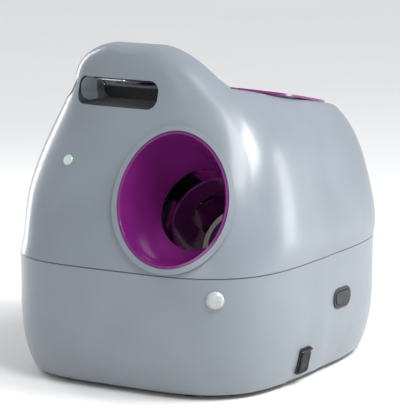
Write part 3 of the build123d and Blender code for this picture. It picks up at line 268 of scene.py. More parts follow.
# A clear or milky moulding: light passes through it, and a fine noise roughens its face.
def clearPlastic(name, spec):
    shade = Shade(name)
    drift = shade.noise(clear["driftScale"], detail=3.0)
    shade.colour(shade.mix(shade.ramp(drift, *midNoise, 0, 1), spec["deep"], spec["light"]))
    shade.roughness(shade.ramp(shade.noise(clear["patchScale"], detail=2.0), *midNoise, *spec["rough"]))
    shade.bump(shade.noise(spec["rippleScale"], detail=2.0), clear["ripple"], clear["rippleDepth"])
    shade.fixed(**spec["fixed"])
    return shade.material


# The housing's seam colour is painted shade for the seam's groove.
greySpec = {
    "deep": (0.205, 0.232, 0.262), "light": (0.226, 0.255, 0.288), "worn": (0.34, 0.36, 0.385),
    "driftScale": 14, "scuffScale": 70, "scuff": 0.16, "scuffBand": (0.71, 0.78), "grainScale": 1500, "grain": 0.20,
    "grainDepth": 0.00005, "rough": (0.29, 0.36), "floorDust": 0.35, "seam": 0.108, "seamHalf": 0.0006,
    "seamShadeTone": (0.055, 0.060, 0.068), "fixed": {"Coat_Weight": 0.25, "Coat_Roughness": 0.14},
}
purpleSpec = {
    "deep": (0.150, 0.010, 0.135), "light": (0.190, 0.015, 0.165), "worn": (0.33, 0.13, 0.31),
    "driftScale": 18, "scuffScale": 80, "scuff": 0.22, "grainScale": 1700, "grain": 0.08,
    "grainDepth": 0.00004, "rough": (0.15, 0.24), "softEdge": 0.0008,
    "fixed": {"Coat_Weight": 0.45, "Coat_Roughness": 0.08},
}
limeSpec = {
    "deep": (0.40, 0.62, 0.055), "light": (0.47, 0.70, 0.075), "worn": (0.66, 0.80, 0.34),
    "driftScale": 30, "scuffScale": 130, "scuff": 0.35, "grainScale": 1700, "grain": 0.22,
    "grainDepth": 0.00006, "softEdge": 0.0006, "rough": (0.30, 0.42), "fixed": {"Subsurface_Weight": 0.05},
}
darkSpec = {
    "deep": (0.018, 0.018, 0.021), "light": (0.028, 0.028, 0.032), "worn": (0.10, 0.10, 0.11),
    "driftScale": 40, "scuffScale": 120, "scuff": 0.30, "grainScale": 1100, "grain": 0.5,
    "grainDepth": 0.00009, "softEdge": 0.0006, "rough": (0.40, 0.56),
}
innerSpec = {
    "deep": (0.030, 0.032, 0.036), "light": (0.042, 0.044, 0.050), "worn": (0.12, 0.12, 0.13),
    "driftScale": 30, "scuffScale": 80, "scuff": 0.30, "grainScale": 900, "grain": 0.35,
    "grainDepth": 0.00008, "softEdge": 0.0006, "rough": (0.42, 0.58),
}
nylonSpec = {
    "deep": (0.66, 0.63, 0.55), "light": (0.74, 0.72, 0.65), "worn": (0.36, 0.33, 0.27),
    "driftScale": 60, "scuffScale": 160, "scuff": 0.35, "grainScale": 1400, "grain": 0.12,
    "grainDepth": 0.00005, "softEdge": 0.0006, "rough": (0.30, 0.42), "fixed": {"Subsurface_Weight": 0.12},
}
chipSpec = {
    "deep": (0.012, 0.012, 0.013), "light": (0.022, 0.022, 0.024), "worn": (0.07, 0.07, 0.07),
    "driftScale": 90, "scuffScale": 200, "scuff": 0.25, "grainScale": 2200, "grain": 0.3,
    "grainDepth": 0.00005, "softEdge": 0.0006, "rough": (0.36, 0.5),
}
steelSpec = {
    "deep": (0.46, 0.47, 0.49), "light": (0.62, 0.63, 0.65), "stainColour": (0.30, 0.29, 0.28), "stain": 0.35,
    "markScale": 500, "stretch": (0.05, 1, 1), "rough": (0.18, 0.34), "bump": 0.25,
}
springSpec = {
    "deep": (0.30, 0.31, 0.33), "light": (0.45, 0.46, 0.48), "stainColour": (0.20, 0.17, 0.13), "stain": 0.30,
    "markScale": 900, "stretch": (1, 1, 1), "rough": (0.22, 0.36), "bump": 0.2,
}
zincSpec = {
    "deep": (0.55, 0.56, 0.55), "light": (0.68, 0.68, 0.64), "stainColour": (0.52, 0.47, 0.36), "stain": 0.40,
    "markScale": 260, "stretch": (1, 1, 0.3), "rough": (0.26, 0.42), "bump": 0.25,
}
nickelSpec = {
    "deep": (0.58, 0.56, 0.52), "light": (0.70, 0.68, 0.63), "stainColour": (0.40, 0.38, 0.33), "stain": 0.25,
    "markScale": 700, "stretch": (1, 1, 1), "rough": (0.14, 0.26), "bump": 0.15,
}
rubberSpec = {
    "deep": (0.014, 0.014, 0.015), "pale": (0.085, 0.082, 0.078), "dust": 0.55, "pebbleScale": 1600,
    "pebble": 0.4, "rough": (0.62, 0.80),
}
padSpec = {
    "deep": (0.060, 0.008, 0.055), "pale": (0.14, 0.07, 0.13), "dust": 0.4, "pebbleScale": 1900,
    "pebble": 0.3, "rough": (0.42, 0.60),
}
boardSpec = {
    "traces": {
        "Color1": (0.012, 0.115, 0.045, 1), "Color2": (0.016, 0.135, 0.055, 1), "Mortar": (0.030, 0.22, 0.095, 1),
        "Scale": 160, "Mortar Size": 0.035,
    },
    "tin": (0.62, 0.62, 0.60), "padScale": 330, "padSpread": 0.35, "padEdge": (0.12, 0.16), "rough": (0.34, 0.28),
    "relief": 0.3, "reliefDepth": 0.00006,
}
cellSpec = {
    "deep": (0.016, 0.020, 0.026), "light": (0.024, 0.029, 0.036), "band": (0.42, 0.44, 0.46),
    "shift": 1.0, "pitch": 0.0614, "bandAt": 0.72, "bandHalf": 0.035, "metallic": 0.35, "rough": (0.28, 0.38),
    "driftScale": 40, "patchScale": 500, "waveScale": 60, "wave": 0.1, "waveDepth": 0.0003,
}
milkSpec = {
    "deep": (0.40, 0.42, 0.43), "light": (0.50, 0.52, 0.53), "rough": (0.16, 0.26), "rippleScale": 420,
    "fixed": {"Subsurface_Weight": 0.35, "Subsurface_Radius": (0.004, 0.004, 0.004), "Coat_Weight": 0.6},
}
lampSpec = {
    "deep": (0.42, 0.50, 0.46), "light": (0.54, 0.62, 0.57), "rough": (0.20, 0.30), "rippleScale": 500,
    "fixed": {
        "Emission_Color": (0.72, 1.0, 0.84, 1), "Emission_Strength": 0.08, "Coat_Weight": 0.6,
        "Subsurface_Weight": 0.2,
    },
}
printSpec = {
    "deep": (0.60, 0.61, 0.60), "light": (0.68, 0.69, 0.68), "worn": (0.30, 0.30, 0.30),
    "driftScale": 200, "scuffScale": 400, "scuff": 0.4, "grainScale": 2500, "grain": 0.2,
    "grainDepth": 0.00003, "rough": (0.45, 0.6),
}

materials = {
    "body_grey": mouldedPlastic("housingGrey", greySpec),
    "port_purple": mouldedPlastic("portPurple", purpleSpec),
    "knob_lime": mouldedPlastic("knobLime", limeSpec),
    "dark_plastic": mouldedPlastic("darkTexture", darkSpec),
    "frame_plastic": mouldedPlastic("innerFrame", innerSpec),
    "gear_plastic": mouldedPlastic("naturalNylon", nylonSpec),
    "component_black": mouldedPlastic("componentBlack", chipSpec),
    "steel": drawnMetal("turnedSteel", steelSpec),
    "spring_steel": drawnMetal("springWire", springSpec),
    "zinc_steel": drawnMetal("zincPlate", zincSpec),
    "nickel": drawnMetal("nickelPlate", nickelSpec),
    "soft_rubber": pebbledRubber("softRubber", rubberSpec),
    "pad_purple": pebbledRubber("padPurple", padSpec),
    "board_green": circuitBoard("solderMask", boardSpec),
    "cell_jacket": cellJacket("cellFilm", cellSpec),
    "lens_white": clearPlastic("milkLens", milkSpec),
    "light_lens": clearPlastic("lampLens", lampSpec),
}
for name, node in nodes.items():
    node.data.materials.clear()
    node.data.materials.append(materials[slotOf[name]])
printWhite = mouldedPlastic("printWhite", printSpec)
print("materials", len(materials), "on", len(nodes), "nodes")


# A new object in the scene.
def addToScene(name, data):
    thing = bpy.data.objects.new(name, data)
    bpy.context.scene.collection.objects.link(thing)
    return thing


# A new piece that moves with a body, has a slot's finish and may stand for a CAD node.
def addPiece(name, mesh, body, slot, stands=None):
    piece = addToScene(name, mesh)
    mesh.materials.clear()
    mesh.materials.append(materials[slot])
    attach(piece, body)
    if stands:
        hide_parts(stands)
    return piece


# Smooth faces, with an edge kept crisp where its two faces turn by more than the angle.
def shadeByAngle(mesh, degrees):
    mesh.polygons.foreach_set("use_smooth", [True] * len(mesh.polygons))
    mesh.set_sharp_from_angle(angle=math.radians(degrees))


# The upper housing: a soft shoulder round the hopper's rim, a rounded crown and a finger slot under it, with painted
# shade on the slot's walls.
# A face is square to an axis where its normal's part along it is over square, and not where it is under blunt.
housing = {
    "rimSlope": 11.5, "rimMiddle": (0, 0.038, 0.238), "handleBack": -0.054, "handleTop": 0.291, "flat": 2e-5,
    "square": 0.999, "behind": 1e-4, "barFoot": 0.258,
    "shoulder": {
        "radius": 0.0125, "tangent": 0.37, "step": 0.0016, "skin": 0.00025, "fadeLength": 0.012, "square": 0.9999,
        "blunt": 0.995, "middleY": 0.02,
    },
    "crown": {
        "radius": 0.022, "tangent": 0.50, "step": 0.0016, "skin": 0.00025, "blunt": 0.98, "rounds": 30,
        "reach": 0.85, "fall": 1.5,
    },
    "bar": {
        "radius": 0.0035, "tangent": 1.0, "step": 0.0012, "skin": 0.00025, "fadeFrom": 0.2567, "fadeLength": 0.008,
        "blunt": 0.9, "gapX": (-0.0745, 0.0105), "gapTop": 0.2635,
    },
    "slot": {
        "x": (-0.0742, 0.0102), "front": -0.070, "back": -0.0418, "z": (0.2388, 0.2632), "ledge": 0.2552,
        "facesFront": -0.2,
    },
}
rimSlope = math.radians(housing["rimSlope"])
rimNormal = Vector((0, math.sin(rimSlope), math.cos(rimSlope)))
rimMiddle = Vector(housing["rimMiddle"])
handleBack = housing["handleBack"]
slotBox = housing["slot"]
rounding = {"passes": 9, "mostPieces": 16, "keptShare": 0.5, "reachSlack": 1.02, "skinSlope": 0.12}


# A node's mesh with its doubled points joined. It keeps the CAD's normals on its corners, and each point can
# carry a new normal and the share of it to use.
def weldedMesh(node):
    mesh = nodes[node].data.copy()
    normals = np.empty(len(mesh.loops) * 3, dtype=np.float32)
    mesh.corner_normals.foreach_get("vector", normals)
    mesh.attributes.new("cadNormal", "FLOAT_VECTOR", "CORNER").data.foreach_set("vector", normals)
    mesh.attributes.new("arcNormal", "FLOAT_VECTOR", "POINT")
    mesh.attributes.new("arcShare", "FLOAT", "POINT")
    mesh.attributes.new("inBack", "FLOAT", "POINT")
    work = bmesh.new()
    work.from_mesh(mesh)
    bpy.data.meshes.remove(mesh)
    bmesh.ops.remove_doubles(work, verts=work.verts, dist=1e-6)
    work.normal_update()
    return work


# Each point's new normal, the share of it to use and whether it lies inside the flat back.
def pointLayers(work):
    layers = work.verts.layers
    return layers.float_vector["arcNormal"], layers.float["arcShare"], layers.float["inBack"]


# The finished mesh. A corner's normal is (1 - share) * CAD normal + share * arc normal, made one long.
def meshWithNormals(work, name):
    mesh = bpy.data.meshes.new(name)
    work.to_mesh(mesh)
    work.free()
    kinds = (("cadNormal", "vector", 3), ("arcNormal", "vector", 3), ("arcShare", "value", 1))
    cad, arc, share = (np.empty(len(mesh.attributes[key].data) * size, dtype=np.float32) for key, _, size in kinds)
    for values, (key, field, _) in zip((cad, arc, share), kinds):
        mesh.attributes[key].data.foreach_get(field, values)
    corner = np.empty(len(mesh.loops), dtype=np.int32)
    mesh.loops.foreach_get("vertex_index", corner)
    part = share[corner][:, None]
    normals = cad.reshape(-1, 3) * (1 - part) + arc.reshape(-1, 3)[corner] * part
    normals /= np.maximum(np.linalg.norm(normals, axis=1), 1e-9)[:, None]
    for key in ("cadNormal", "arcNormal", "arcShare", "inBack"):
        mesh.attributes.remove(mesh.attributes[key])
    mesh.polygons.foreach_set("use_smooth", [True] * len(mesh.polygons))
    mesh.normals_split_custom_set(normals.tolist())
    return mesh


# The samples along one set of edges: place, direction along the edge and both face normals.
def edgeSamples(work, chosen, step):
    samples = []
    for edge in chosen:
        first, second = edge.verts[0].co, edge.verts[1].co
        normals = [face.normal.copy() for face in edge.link_faces]
        count = max(1, math.ceil(edge.calc_length() / step))
        for index in range(count + 1):
            samples.append((first.lerp(second, index / count), (second - first).normalized(), *normals))
    return samples


# The least distance from the samples to an edge's ends and the cuts between its pieces.
def edgeDistance(tree, edge, pieces):
    one, two = (vert.co for vert in edge.verts)
    return min(tree.find(one.lerp(two, k / pieces))[2] for k in range(pieces + 1))


# Halves every edge that runs through the band round the samples until none there is longer than the step.
# Only faces that can be reached from the chosen edges without leaving the band are cut. Triangles that come
# out double are removed.
def refineBand(work, chosen, tree, band, step):
    start = {face for edge in chosen for face in edge.link_faces}
    for _ in range(rounding["passes"]):
        start = {face for face in start if face.is_valid}
        reached = set(start)
        front = list(start)
        while front:
            face = front.pop()
            for edge in face.edges:
                if edgeDistance(tree, edge, 2) > band:
                    continue
                for other in edge.link_faces:
                    if other not in reached:
                        reached.add(other)
                        front.append(other)
        longEdges = set()
        for face in reached:
            for edge in face.edges:
                pieces = min(rounding["mostPieces"], math.ceil(edge.calc_length() / step))
                if pieces > 1 and edgeDistance(tree, edge, pieces) < band:
                    longEdges.add(edge)
        if not longEdges:
            break
        bmesh.ops.subdivide_edges(work, edges=list(longEdges), cuts=1)
        cut = bmesh.ops.triangulate(work, faces=[face for face in work.faces if len(face.verts) > 3])
        for face in cut["face_map_double"]:
            work.faces.remove(face)
        work.normal_update()
        kept = band * rounding["keptShare"]
        start = {face for face in work.faces if min(tree.find(v.co)[2] for v in face.verts) < kept}


# Whether a point lies on the flat back of the handle.
def onBack(vert):
    return abs(vert.co.y - handleBack) < housing["flat"]


# Rounds a set of edges. The arc of the given radius is tangent to both faces of the edge, so its centre is
# edge - radius * (n1 + n2) / (1 + n1.n2), and a point nearer than the tangent length moves to
# centre + radius * unit(point - centre), taken square to the edge.
# A fade gives the share of the move to make at a place, and keepsBack holds the handle's flat back in its plane.
def roundEdges(work, name, pick, spec, fade=None, keepsBack=False):
    chosen = [edge for edge in work.edges if len(edge.link_faces) == 2 and pick(edge)]
    samples = edgeSamples(work, chosen, spec["step"] / 2)
    tree = kdtree.KDTree(len(samples))
    for index, sample in enumerate(samples):
        tree.insert(sample[0], index)
    tree.balance()
    radius = spec["radius"]
    band = radius * spec["tangent"] + spec["step"]
    refineBand(work, chosen, tree, band, spec["step"])
    arcNormal, arcShare, inBack = pointLayers(work)
    for vert in work.verts:
        vert[inBack] = float(onBack(vert) and all(face.normal.y > housing["square"] for face in vert.link_faces))
    moved = 0
    for vert in work.verts:
        if keepsBack and vert[inBack] > 0.5:
            continue
        index, distance = tree.find(vert.co)[1:]
        if distance > radius * spec["tangent"] * rounding["reachSlack"]:
            continue
        edgePoint, along, one, two = samples[index]
        offset = vert.co - edgePoint
        if min(abs(offset.dot(one)), abs(offset.dot(two))) > spec["skin"] + rounding["skinSlope"] * distance:
            continue
        near = 1 + one.dot(two)
        centre = edgePoint - radius * (one + two) / near
        tangent = radius * math.sqrt(max(0.0, (1 - one.dot(two)) / near))
        across = offset - along * offset.dot(along)
        if across.length >= tangent:
            continue
        spoke = vert.co - centre
        spoke -= along * spoke.dot(along)
        share = min(1.0, max(0.0, fade(edgePoint))) if fade else 1.0
        target = vert.co + spoke.normalized() * (radius - spoke.length)
        if keepsBack and onBack(vert):
            target.y = vert.co.y
        vert.co = vert.co.lerp(target, share)
        vert[arcNormal] = spoke.normalized()
        vert[arcShare] = share
        moved += 1
    work.normal_update()
    print("rounded", name, len(chosen), "edges", moved, "points")
    return tree, band


# Eases the crown. In each round every point moves to the mean of its neighbours, times a weight that falls from
# 1 to 0 across the band round the old edge: fall * (1 - distance / reach), held between 0 and 1. Points on the
# flat back stay in its plane, and points inside the flat back don't pull on those of its outline.
def easeCrown(work, tree, band):
    crown = housing["crown"]
    work.verts.ensure_lookup_table()
    work.verts.index_update()
    points = np.array([vert.co[:] for vert in work.verts])
    flat = np.abs(points[:, 1] - handleBack) < housing["flat"]
    arcNormal, arcShare, inBack = pointLayers(work)
    inside = np.array([vert[inBack] > 0.5 for vert in work.verts])
    pairs = np.array([[vert.index for vert in edge.verts] for edge in work.edges])
    pairs = np.concatenate((pairs, pairs[:, ::-1]))
    pairs = pairs[~(inside[pairs[:, 1]] & ~inside[pairs[:, 0]])]
    count = np.bincount(pairs[:, 0], minlength=len(points))[:, None]
    away = np.array([tree.find(point)[2] for point in points])
    weight = np.clip(crown["fall"] * (1 - away / (crown["reach"] * band)), 0, 1)
    weight[points[:, 1] > handleBack + housing["behind"]] = 0
    start = points.copy()
    for _ in range(crown["rounds"]):
        total = np.stack([np.bincount(pairs[:, 0], points[pairs[:, 1], k], len(points)) for k in range(3)], 1)
        points += weight[:, None] * (total / np.maximum(count, 1) - points)
        points[flat, 1] = start[flat, 1]
    moved = np.linalg.norm(points - start, axis=1) > 1e-6
    for index in np.flatnonzero(moved):
        work.verts[index].co = points[index]
    work.normal_update()
    for index in np.flatnonzero(moved):
        vert = work.verts[index]
        outside = (face for face in vert.link_faces if face.normal.y < housing["square"])
        outer = sum((face.normal * face.calc_area() for face in outside), Vector())
        if outer.length > 0:
            vert[arcNormal] = outer.normalized()
            vert[arcShare] = 1.0
    print("crown eased", int(moved.sum()), "points")


# The rim's outer edges: both ends in the rim's plane, with one face in that plane and one that turns outwards.
def shoulderEdge(edge):
    shoulder = housing["shoulder"]
    if any(abs((vert.co - rimMiddle).dot(rimNormal)) > housing["flat"] for vert in edge.verts):
        return False
    dots = sorted(face.normal.dot(rimNormal) for face in edge.link_faces)
    if dots[1] < shoulder["square"] or dots[0] > shoulder["blunt"]:
        return False
    side = min(edge.link_faces, key=lambda face: face.normal.dot(rimNormal))
    middle = (edge.verts[0].co + edge.verts[1].co) / 2
    outward = Vector((middle.x, middle.y - shoulder["middleY"], 0))
    return side.normal.dot(outward) > 0


# The edges round the flat top of the handle, apart from the one at its back.
def crownEdge(edge):
    if any(abs(vert.co.z - housing["handleTop"]) > housing["flat"] for vert in edge.verts):
        return False
    dots = sorted(face.normal.z for face in edge.link_faces)
    middle = (edge.verts[0].co + edge.verts[1].co) / 2
    if dots[1] <= housing["square"] or dots[0] >= housing["crown"]["blunt"]:
        return False
    return middle.y < handleBack - housing["behind"]


# The edges between the handle bar's flat back and the faces round it, apart from those of the finger slot.
def barEdge(edge):
    bar = housing["bar"]
    if any(not onBack(vert) or vert.co.z < housing["barFoot"] for vert in edge.verts):
        return False
    one, two = (face.normal for face in edge.link_faces)
    flat, other = (one, two) if one.y > two.y else (two, one)
    middle = (edge.verts[0].co + edge.verts[1].co) / 2
    xLow, xHigh = bar["gapX"]
    inGap = xLow < middle.x < xHigh and middle.z < bar["gapTop"]
    return flat.y > housing["square"] and abs(other.y) < bar["blunt"] and not inGap


# 0 at the handle's flat back, 1 a fade length behind it.
def shoulderFade(place):
    return (place.y - handleBack) / housing["shoulder"]["fadeLength"]


# 0 at the height where the bar's rounding starts, 1 a fade length above it.
def barFade(place):
    return (place.z - housing["bar"]["fadeFrom"]) / housing["bar"]["fadeLength"]


upper = weldedMesh("upper_shell")
roundEdges(upper, "shoulder", shoulderEdge, housing["shoulder"], shoulderFade)
easeCrown(upper, *roundEdges(upper, "crown", crownEdge, housing["crown"], keepsBack=True))
roundEdges(upper, "bar", barEdge, housing["bar"], barFade)


# Whether a face lies behind the handle bar, within the slot's width.
def onSlotBack(face):
    centre = face.calc_center_median()
    xLow, xHigh = slotBox["x"]
    zLow, zHigh = slotBox["z"]
    return xLow < centre.x < xHigh and handleBack < centre.y < slotBox["back"] and zLow < centre.z < zHigh


# The walls of the finger slot, which are painted dark as shade, but not the housing's front round it or the grey
# ledge at its back.
def inSlotShade(face):
    centre = face.center
    xLow, xHigh = slotBox["x"]
    zLow, zHigh = slotBox["z"]
    if not (xLow < centre.x < xHigh and zLow < centre.z < zHigh and centre.y < slotBox["back"]):
        return False
    if centre.y < slotBox["front"] and face.normal.y < slotBox["facesFront"]:
        return False
    return centre.z < slotBox["ledge"] or centre.y < handleBack


# The slot's back wall is cut along the ledge's line, so that the painted shade and the grey ledge meet in a straight
# edge.
backWall = [face for face in upper.faces if onSlotBack(face)]
parts = {part for face in backWall for part in (face, *face.edges, *face.verts)}
ledgeLine = Vector((0, 0, slotBox["ledge"]))
bmesh.ops.bisect_plane(upper, geom=list(parts), dist=1e-7, plane_co=ledgeLine, plane_no=Vector((0, 0, 1)))
upperMesh = meshWithNormals(upper, "upperHousing")
addPiece("upperHousing", upperMesh, "housing", "body_grey", "upper_shell")
# Painted shade: the finger slot's walls take the dark plastic, standing in for the shadow inside the slot.
upperMesh.materials.append(materials["dark_plastic"])
slotShadeFaces = [face for face in upperMesh.polygons if inSlotShade(face)]
for face in slotShadeFaces:
    face.material_index = 1
print("upperHousing", len(upperMesh.polygons), "faces", len(slotShadeFaces), "in the slot")


# The mesh of a closed surface, with its faces outwards.
def closeMesh(work, name, degrees=35):
    bmesh.ops.recalc_face_normals(work, faces=work.faces)
    mesh = bpy.data.meshes.new(name)
    work.to_mesh(mesh)
    work.free()
    shadeByAngle(mesh, degrees)
    return mesh


# One closed mesh from grids of points, given with whether their rows run round. A quad joins each point with the
# next one in its row and with the two beside them in the row after. Points in one place are then merged.
def meshFromGrids(name, grids, degrees=35):
    points, quads, first = [], [], 0
    for grid, isRound in grids:
        rows, columns = grid.shape[:2]
        ends = columns if isRound else columns - 1
        row, column = np.meshgrid(np.arange(rows - 1), np.arange(ends), indexing="ij")
        here, there = first + row * columns, first + (row + 1) * columns
        after = (column + 1) % columns
        quads.append(np.stack((here + column, here + after, there + after, there + column), -1).reshape(-1, 4))
        points.append(grid.reshape(-1, 3))
        first += rows * columns
    mesh = bpy.data.meshes.new(name)
    mesh.from_pydata(np.concatenate(points).tolist(), [], np.concatenate(quads).tolist())
    work = bmesh.new()
    work.from_mesh(mesh)
    bpy.data.meshes.remove(mesh)
    bmesh.ops.remove_doubles(work, verts=work.verts, dist=1e-7)
    bmesh.ops.dissolve_degenerate(work, edges=work.edges, dist=1e-7)
    return closeMesh(work, name, degrees)


# A round grid with both ends closed: a row in the middle of the first row comes before it, and one in the
# middle of the last row comes after it.
def withEnds(grid):
    first, last = (np.broadcast_to(row.mean(axis=0), row.shape)[None] for row in (grid[0], grid[-1]))
    return np.concatenate((first, grid, last))


# A turned surface. For each (radius, height) of the profile and each t round the axis it is
# base + height * axis + radius * (side * cos t + other * sin t).
def turnedGrid(profile, base, axis, segments):
    axis = Vector(axis).normalized()
    side = axis.orthogonal().normalized()
    other = axis.cross(side)
    radius, height = np.array(profile, float).T[:, :, None, None]
    turn = np.linspace(0, 2 * np.pi, segments, endpoint=False)
    spokes = np.outer(np.cos(turn), side) + np.outer(np.sin(turn), other)
    return np.array(base) + height * np.array(axis) + radius * spokes


# Each foot is a turned pad: a rolled lower edge, a shallow ring groove and a cup in the middle.
feet = {
    "places": [(-0.060, -0.116), (0.060, -0.116), (-0.060, 0.116), (0.060, 0.116), (0, 0)],
    "profile": [
        (0, 0.0009), (0.0022, 0.0009), (0.0030, 0.0005), (0.0034, 0), (0.0056, 0), (0.0059, 0.0005),
        (0.0063, 0.0005), (0.0066, 0), (0.0074, 0), (0.0083, 0.0003), (0.0088, 0.0009), (0.0090, 0.0018),
        (0.0090, 0.0040), (0, 0.0040),
    ],
    "segments": 64,
}
feetGrids = [(turnedGrid(feet["profile"], (x, y, 0), (0, 0, 1), feet["segments"]), True) for x, y in feet["places"]]
addPiece("rubberFeet", meshFromGrids("rubberFeet", feetGrids), "housing", slotOf["rubber_feet"], "rubber_feet")
print("rubberFeet", len(feet["places"]), "pads")

# The barrel's own directions and pivot. The striker and its spring lie along forward.
launch = math.radians(32)
forward = Vector((0, -math.cos(launch), math.sin(launch)))
upward = Vector((0, math.sin(launch), math.cos(launch)))
barrelPivot = Vector((0.046, -0.052, 0.138))

# The striker's pad: a soft disc with a rolled edge and three ring grooves, square to the barrel.
pad = {
    "face": -0.0505, "radius": 0.030, "thickness": 0.004, "roll": 0.0016, "dish": 0.0008,
    "grooves": (0.0075, 0.0150, 0.0225), "grooveHalf": 0.0009, "grooveDepth": 0.0006, "rings": 90, "segments": 96,
}


# Height over the pad's back: the thickness, less a dish of depth * (1 - (r / R)^2), less a cosine dip at each
# groove, less a roll that follows a quarter circle at the edge.
def padHeight(radius):
    height = pad["thickness"] - pad["dish"] * (1 - (radius / pad["radius"]) ** 2)
    for groove in pad["grooves"]:
        off = np.minimum(np.abs(radius - groove) / pad["grooveHalf"], 1)
        height = height - pad["grooveDepth"] * np.cos(off * np.pi / 2)
    into = np.maximum(radius - (pad["radius"] - pad["roll"]), 0)
    return height - pad["roll"] + np.sqrt(np.maximum(pad["roll"] ** 2 - into ** 2, 0))


padRadii = np.linspace(pad["radius"], 0, pad["rings"] + 1)
padProfile = [(0, 0), (pad["radius"], 0), *zip(padRadii, padHeight(padRadii))]
padGrid = turnedGrid(padProfile, barrelPivot + forward * pad["face"], forward, pad["segments"])
padMesh = meshFromGrids("strikerPad", [(padGrid, True)], 50)
addPiece("strikerPad", padMesh, "striker", slotOf["striker_pad"], "striker_pad")
print("strikerPad", len(padProfile), "rings")

# The launch spring: a round wire wound on a coil with closed ends.
spring = {
    "start": -0.1369, "end": -0.0571, "radius": 0.029, "wire": 0.0026, "turns": 8, "steps": 96, "sides": 14,
    "seat": -0.1385, "keep": 0.492,
}


# The wire's middle is pivot + height(t) * forward + radius * (x * cos(2 pi t) + upward * sin(2 pi t)) over the
# turns t. The height grows by one wire in each end turn and evenly between them. Round each middle the wire is
# half its thickness times (outward * cos a + across * sin a).
def springGrid():
    turns, wire = spring["turns"], spring["wire"]
    length = spring["end"] - spring["start"]
    turn = np.linspace(0, turns, turns * spring["steps"] + 1)
    height = np.interp(turn, (0, 1, turns - 1, turns), (0, wire, length - wire, length)) + spring["start"]
    outward = np.outer(np.cos(2 * np.pi * turn), (1, 0, 0)) + np.outer(np.sin(2 * np.pi * turn), upward)
    middle = np.array(barrelPivot) + np.outer(height, forward) + spring["radius"] * outward
    path = np.gradient(middle, axis=0)
    path /= np.linalg.norm(path, axis=1)[:, None]
    across = np.cross(path, outward)
    around = np.linspace(0, 2 * np.pi, spring["sides"], endpoint=False)[None, :, None]
    ring = np.cos(around) * outward[:, None] + np.sin(around) * across[:, None]
    return middle[:, None] + ring * wire / 2


springMesh = meshFromGrids("launchSpring", [(withEnds(springGrid()), True)], 50)
springPiece = addPiece("launchSpring", springMesh, "barrel", slotOf["launch_spring"], "launch_spring")
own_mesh(springPiece)
print("launchSpring", len(springMesh.polygons), "faces")

# The grip under the handle bar: a pad with rounded ends and edges, and ribs across it for the fingers.
grip = {
    "x": (-0.064, 0.0), "y": (-0.080, -0.056), "top": 0.263, "thickness": 0.0025, "corner": 0.005,
    "edge": 0.0014, "ribs": 13, "ribDepth": 0.0007, "ribFade": 0.002, "cells": (150, 56),
}


# The grip's lower face over u and v from -1 to 1. In the corners a point (a, b) from the corner's middle moves
# in by max(a, b) / hypot(a, b), so that the grid follows the round corner. The depth is the thickness less a
# quarter circle at the edge and less the ribs, their depth times (1 - cos(pi * ribs * (u + 1))) / 2.
def gripGrid():
    columns, rows = grip["cells"]
    u, v = np.meshgrid(np.linspace(-1, 1, columns + 1), np.linspace(-1, 1, rows + 1), indexing="ij")
    (xLow, xHigh), (yLow, yHigh), corner, edge = grip["x"], grip["y"], grip["corner"], grip["edge"]
    halfX, halfY = (xHigh - xLow) / 2, (yHigh - yLow) / 2
    a, b = np.abs(u) * halfX - halfX + corner, np.abs(v) * halfY - halfY + corner
    inCorner = (a > 0) & (b > 0)
    reach = np.where(inCorner, np.maximum(a, b) / np.maximum(np.hypot(a, b), 1e-9), 1)
    a, b = a * reach, b * reach
    fromEdge = corner - np.where(inCorner, np.hypot(a, b), np.maximum(a, b))
    into = np.maximum(edge - np.maximum(fromEdge, 0), 0)
    depth = grip["thickness"] - edge + np.sqrt(np.maximum(edge ** 2 - into ** 2, 0))
    ribs = (1 - np.cos(np.pi * grip["ribs"] * (u + 1))) / 2
    depth -= grip["ribDepth"] * ribs * np.clip((fromEdge - edge) / grip["ribFade"], 0, 1)
    x = (xLow + xHigh) / 2 + np.sign(u) * (halfX - corner + a)
    y = (yLow + yHigh) / 2 + np.sign(v) * (halfY - corner + b)
    return np.stack((x, y, grip["top"] - depth), -1)


gripLower = gripGrid()
gripUpper = gripLower.copy()
gripUpper[..., 2] = grip["top"]
gripWall = np.stack([
    np.concatenate((face[:-1, 0], face[-1, :-1], face[:0:-1, -1], face[0, :0:-1])) for face in (gripLower, gripUpper)
])
gripMesh = meshFromGrids("handleGrip", [(gripLower, False), (gripUpper, False), (gripWall, True)], 45)
addPiece("handleGrip", gripMesh, "housing", slotOf["handle_grip"], "handle_grip")
print("handleGrip", grip["ribs"], "ribs")

# The inlet's cover lies on a plane that leans 12 degrees out of upright: u along +Y, v up the plane, w out of it.
# Its edge is given as steps of (w over its back, inset of the outline).
cover = {
    "lean": 12, "origin": (0.126, -0.040, 0.022), "halfWidth": 0.008, "v": (-0.011, 0.0082), "corner": 0.0022,
    "leastCorner": 0.0004, "cornerSteps": 10, "back": 0.0013,
    "edge": (
        (0, 0.0004), (0.0004, 0), (0.0011, 0), (0.0016, 0.0002), (0.0019, 0.0006), (0.0020, 0.0012),
        (0.0020, 0.0024), (0.0016, 0.0027), (0.0016, 0.0034),
    ),
    "web": {"halfU": 0.0055, "v": (0.0070, 0.0094), "w": (0.0001, 0.0019)},
    "tab": {"halfU": 0.0040, "v": (-0.0098, -0.0078), "w": (0.0014, 0.0020)},
    "hinge": {"v": 0.0098, "w": 0.0025, "halfU": 0.0055, "radius": 0.0012, "pin": 0.0006, "bevel": 0.0002},
}
lean = math.radians(cover["lean"])
coverAxes = np.array(((0, 1, 0), (math.sin(lean), 0, math.cos(lean)), (math.cos(lean), 0, -math.sin(lean))))


# origin + u * U + v * V + w * W, for whole arrays of u, v and w.
def onCover(u, v, w):
    return np.array(cover["origin"]) + np.stack(np.broadcast_arrays(u, v, w), -1) @ coverAxes


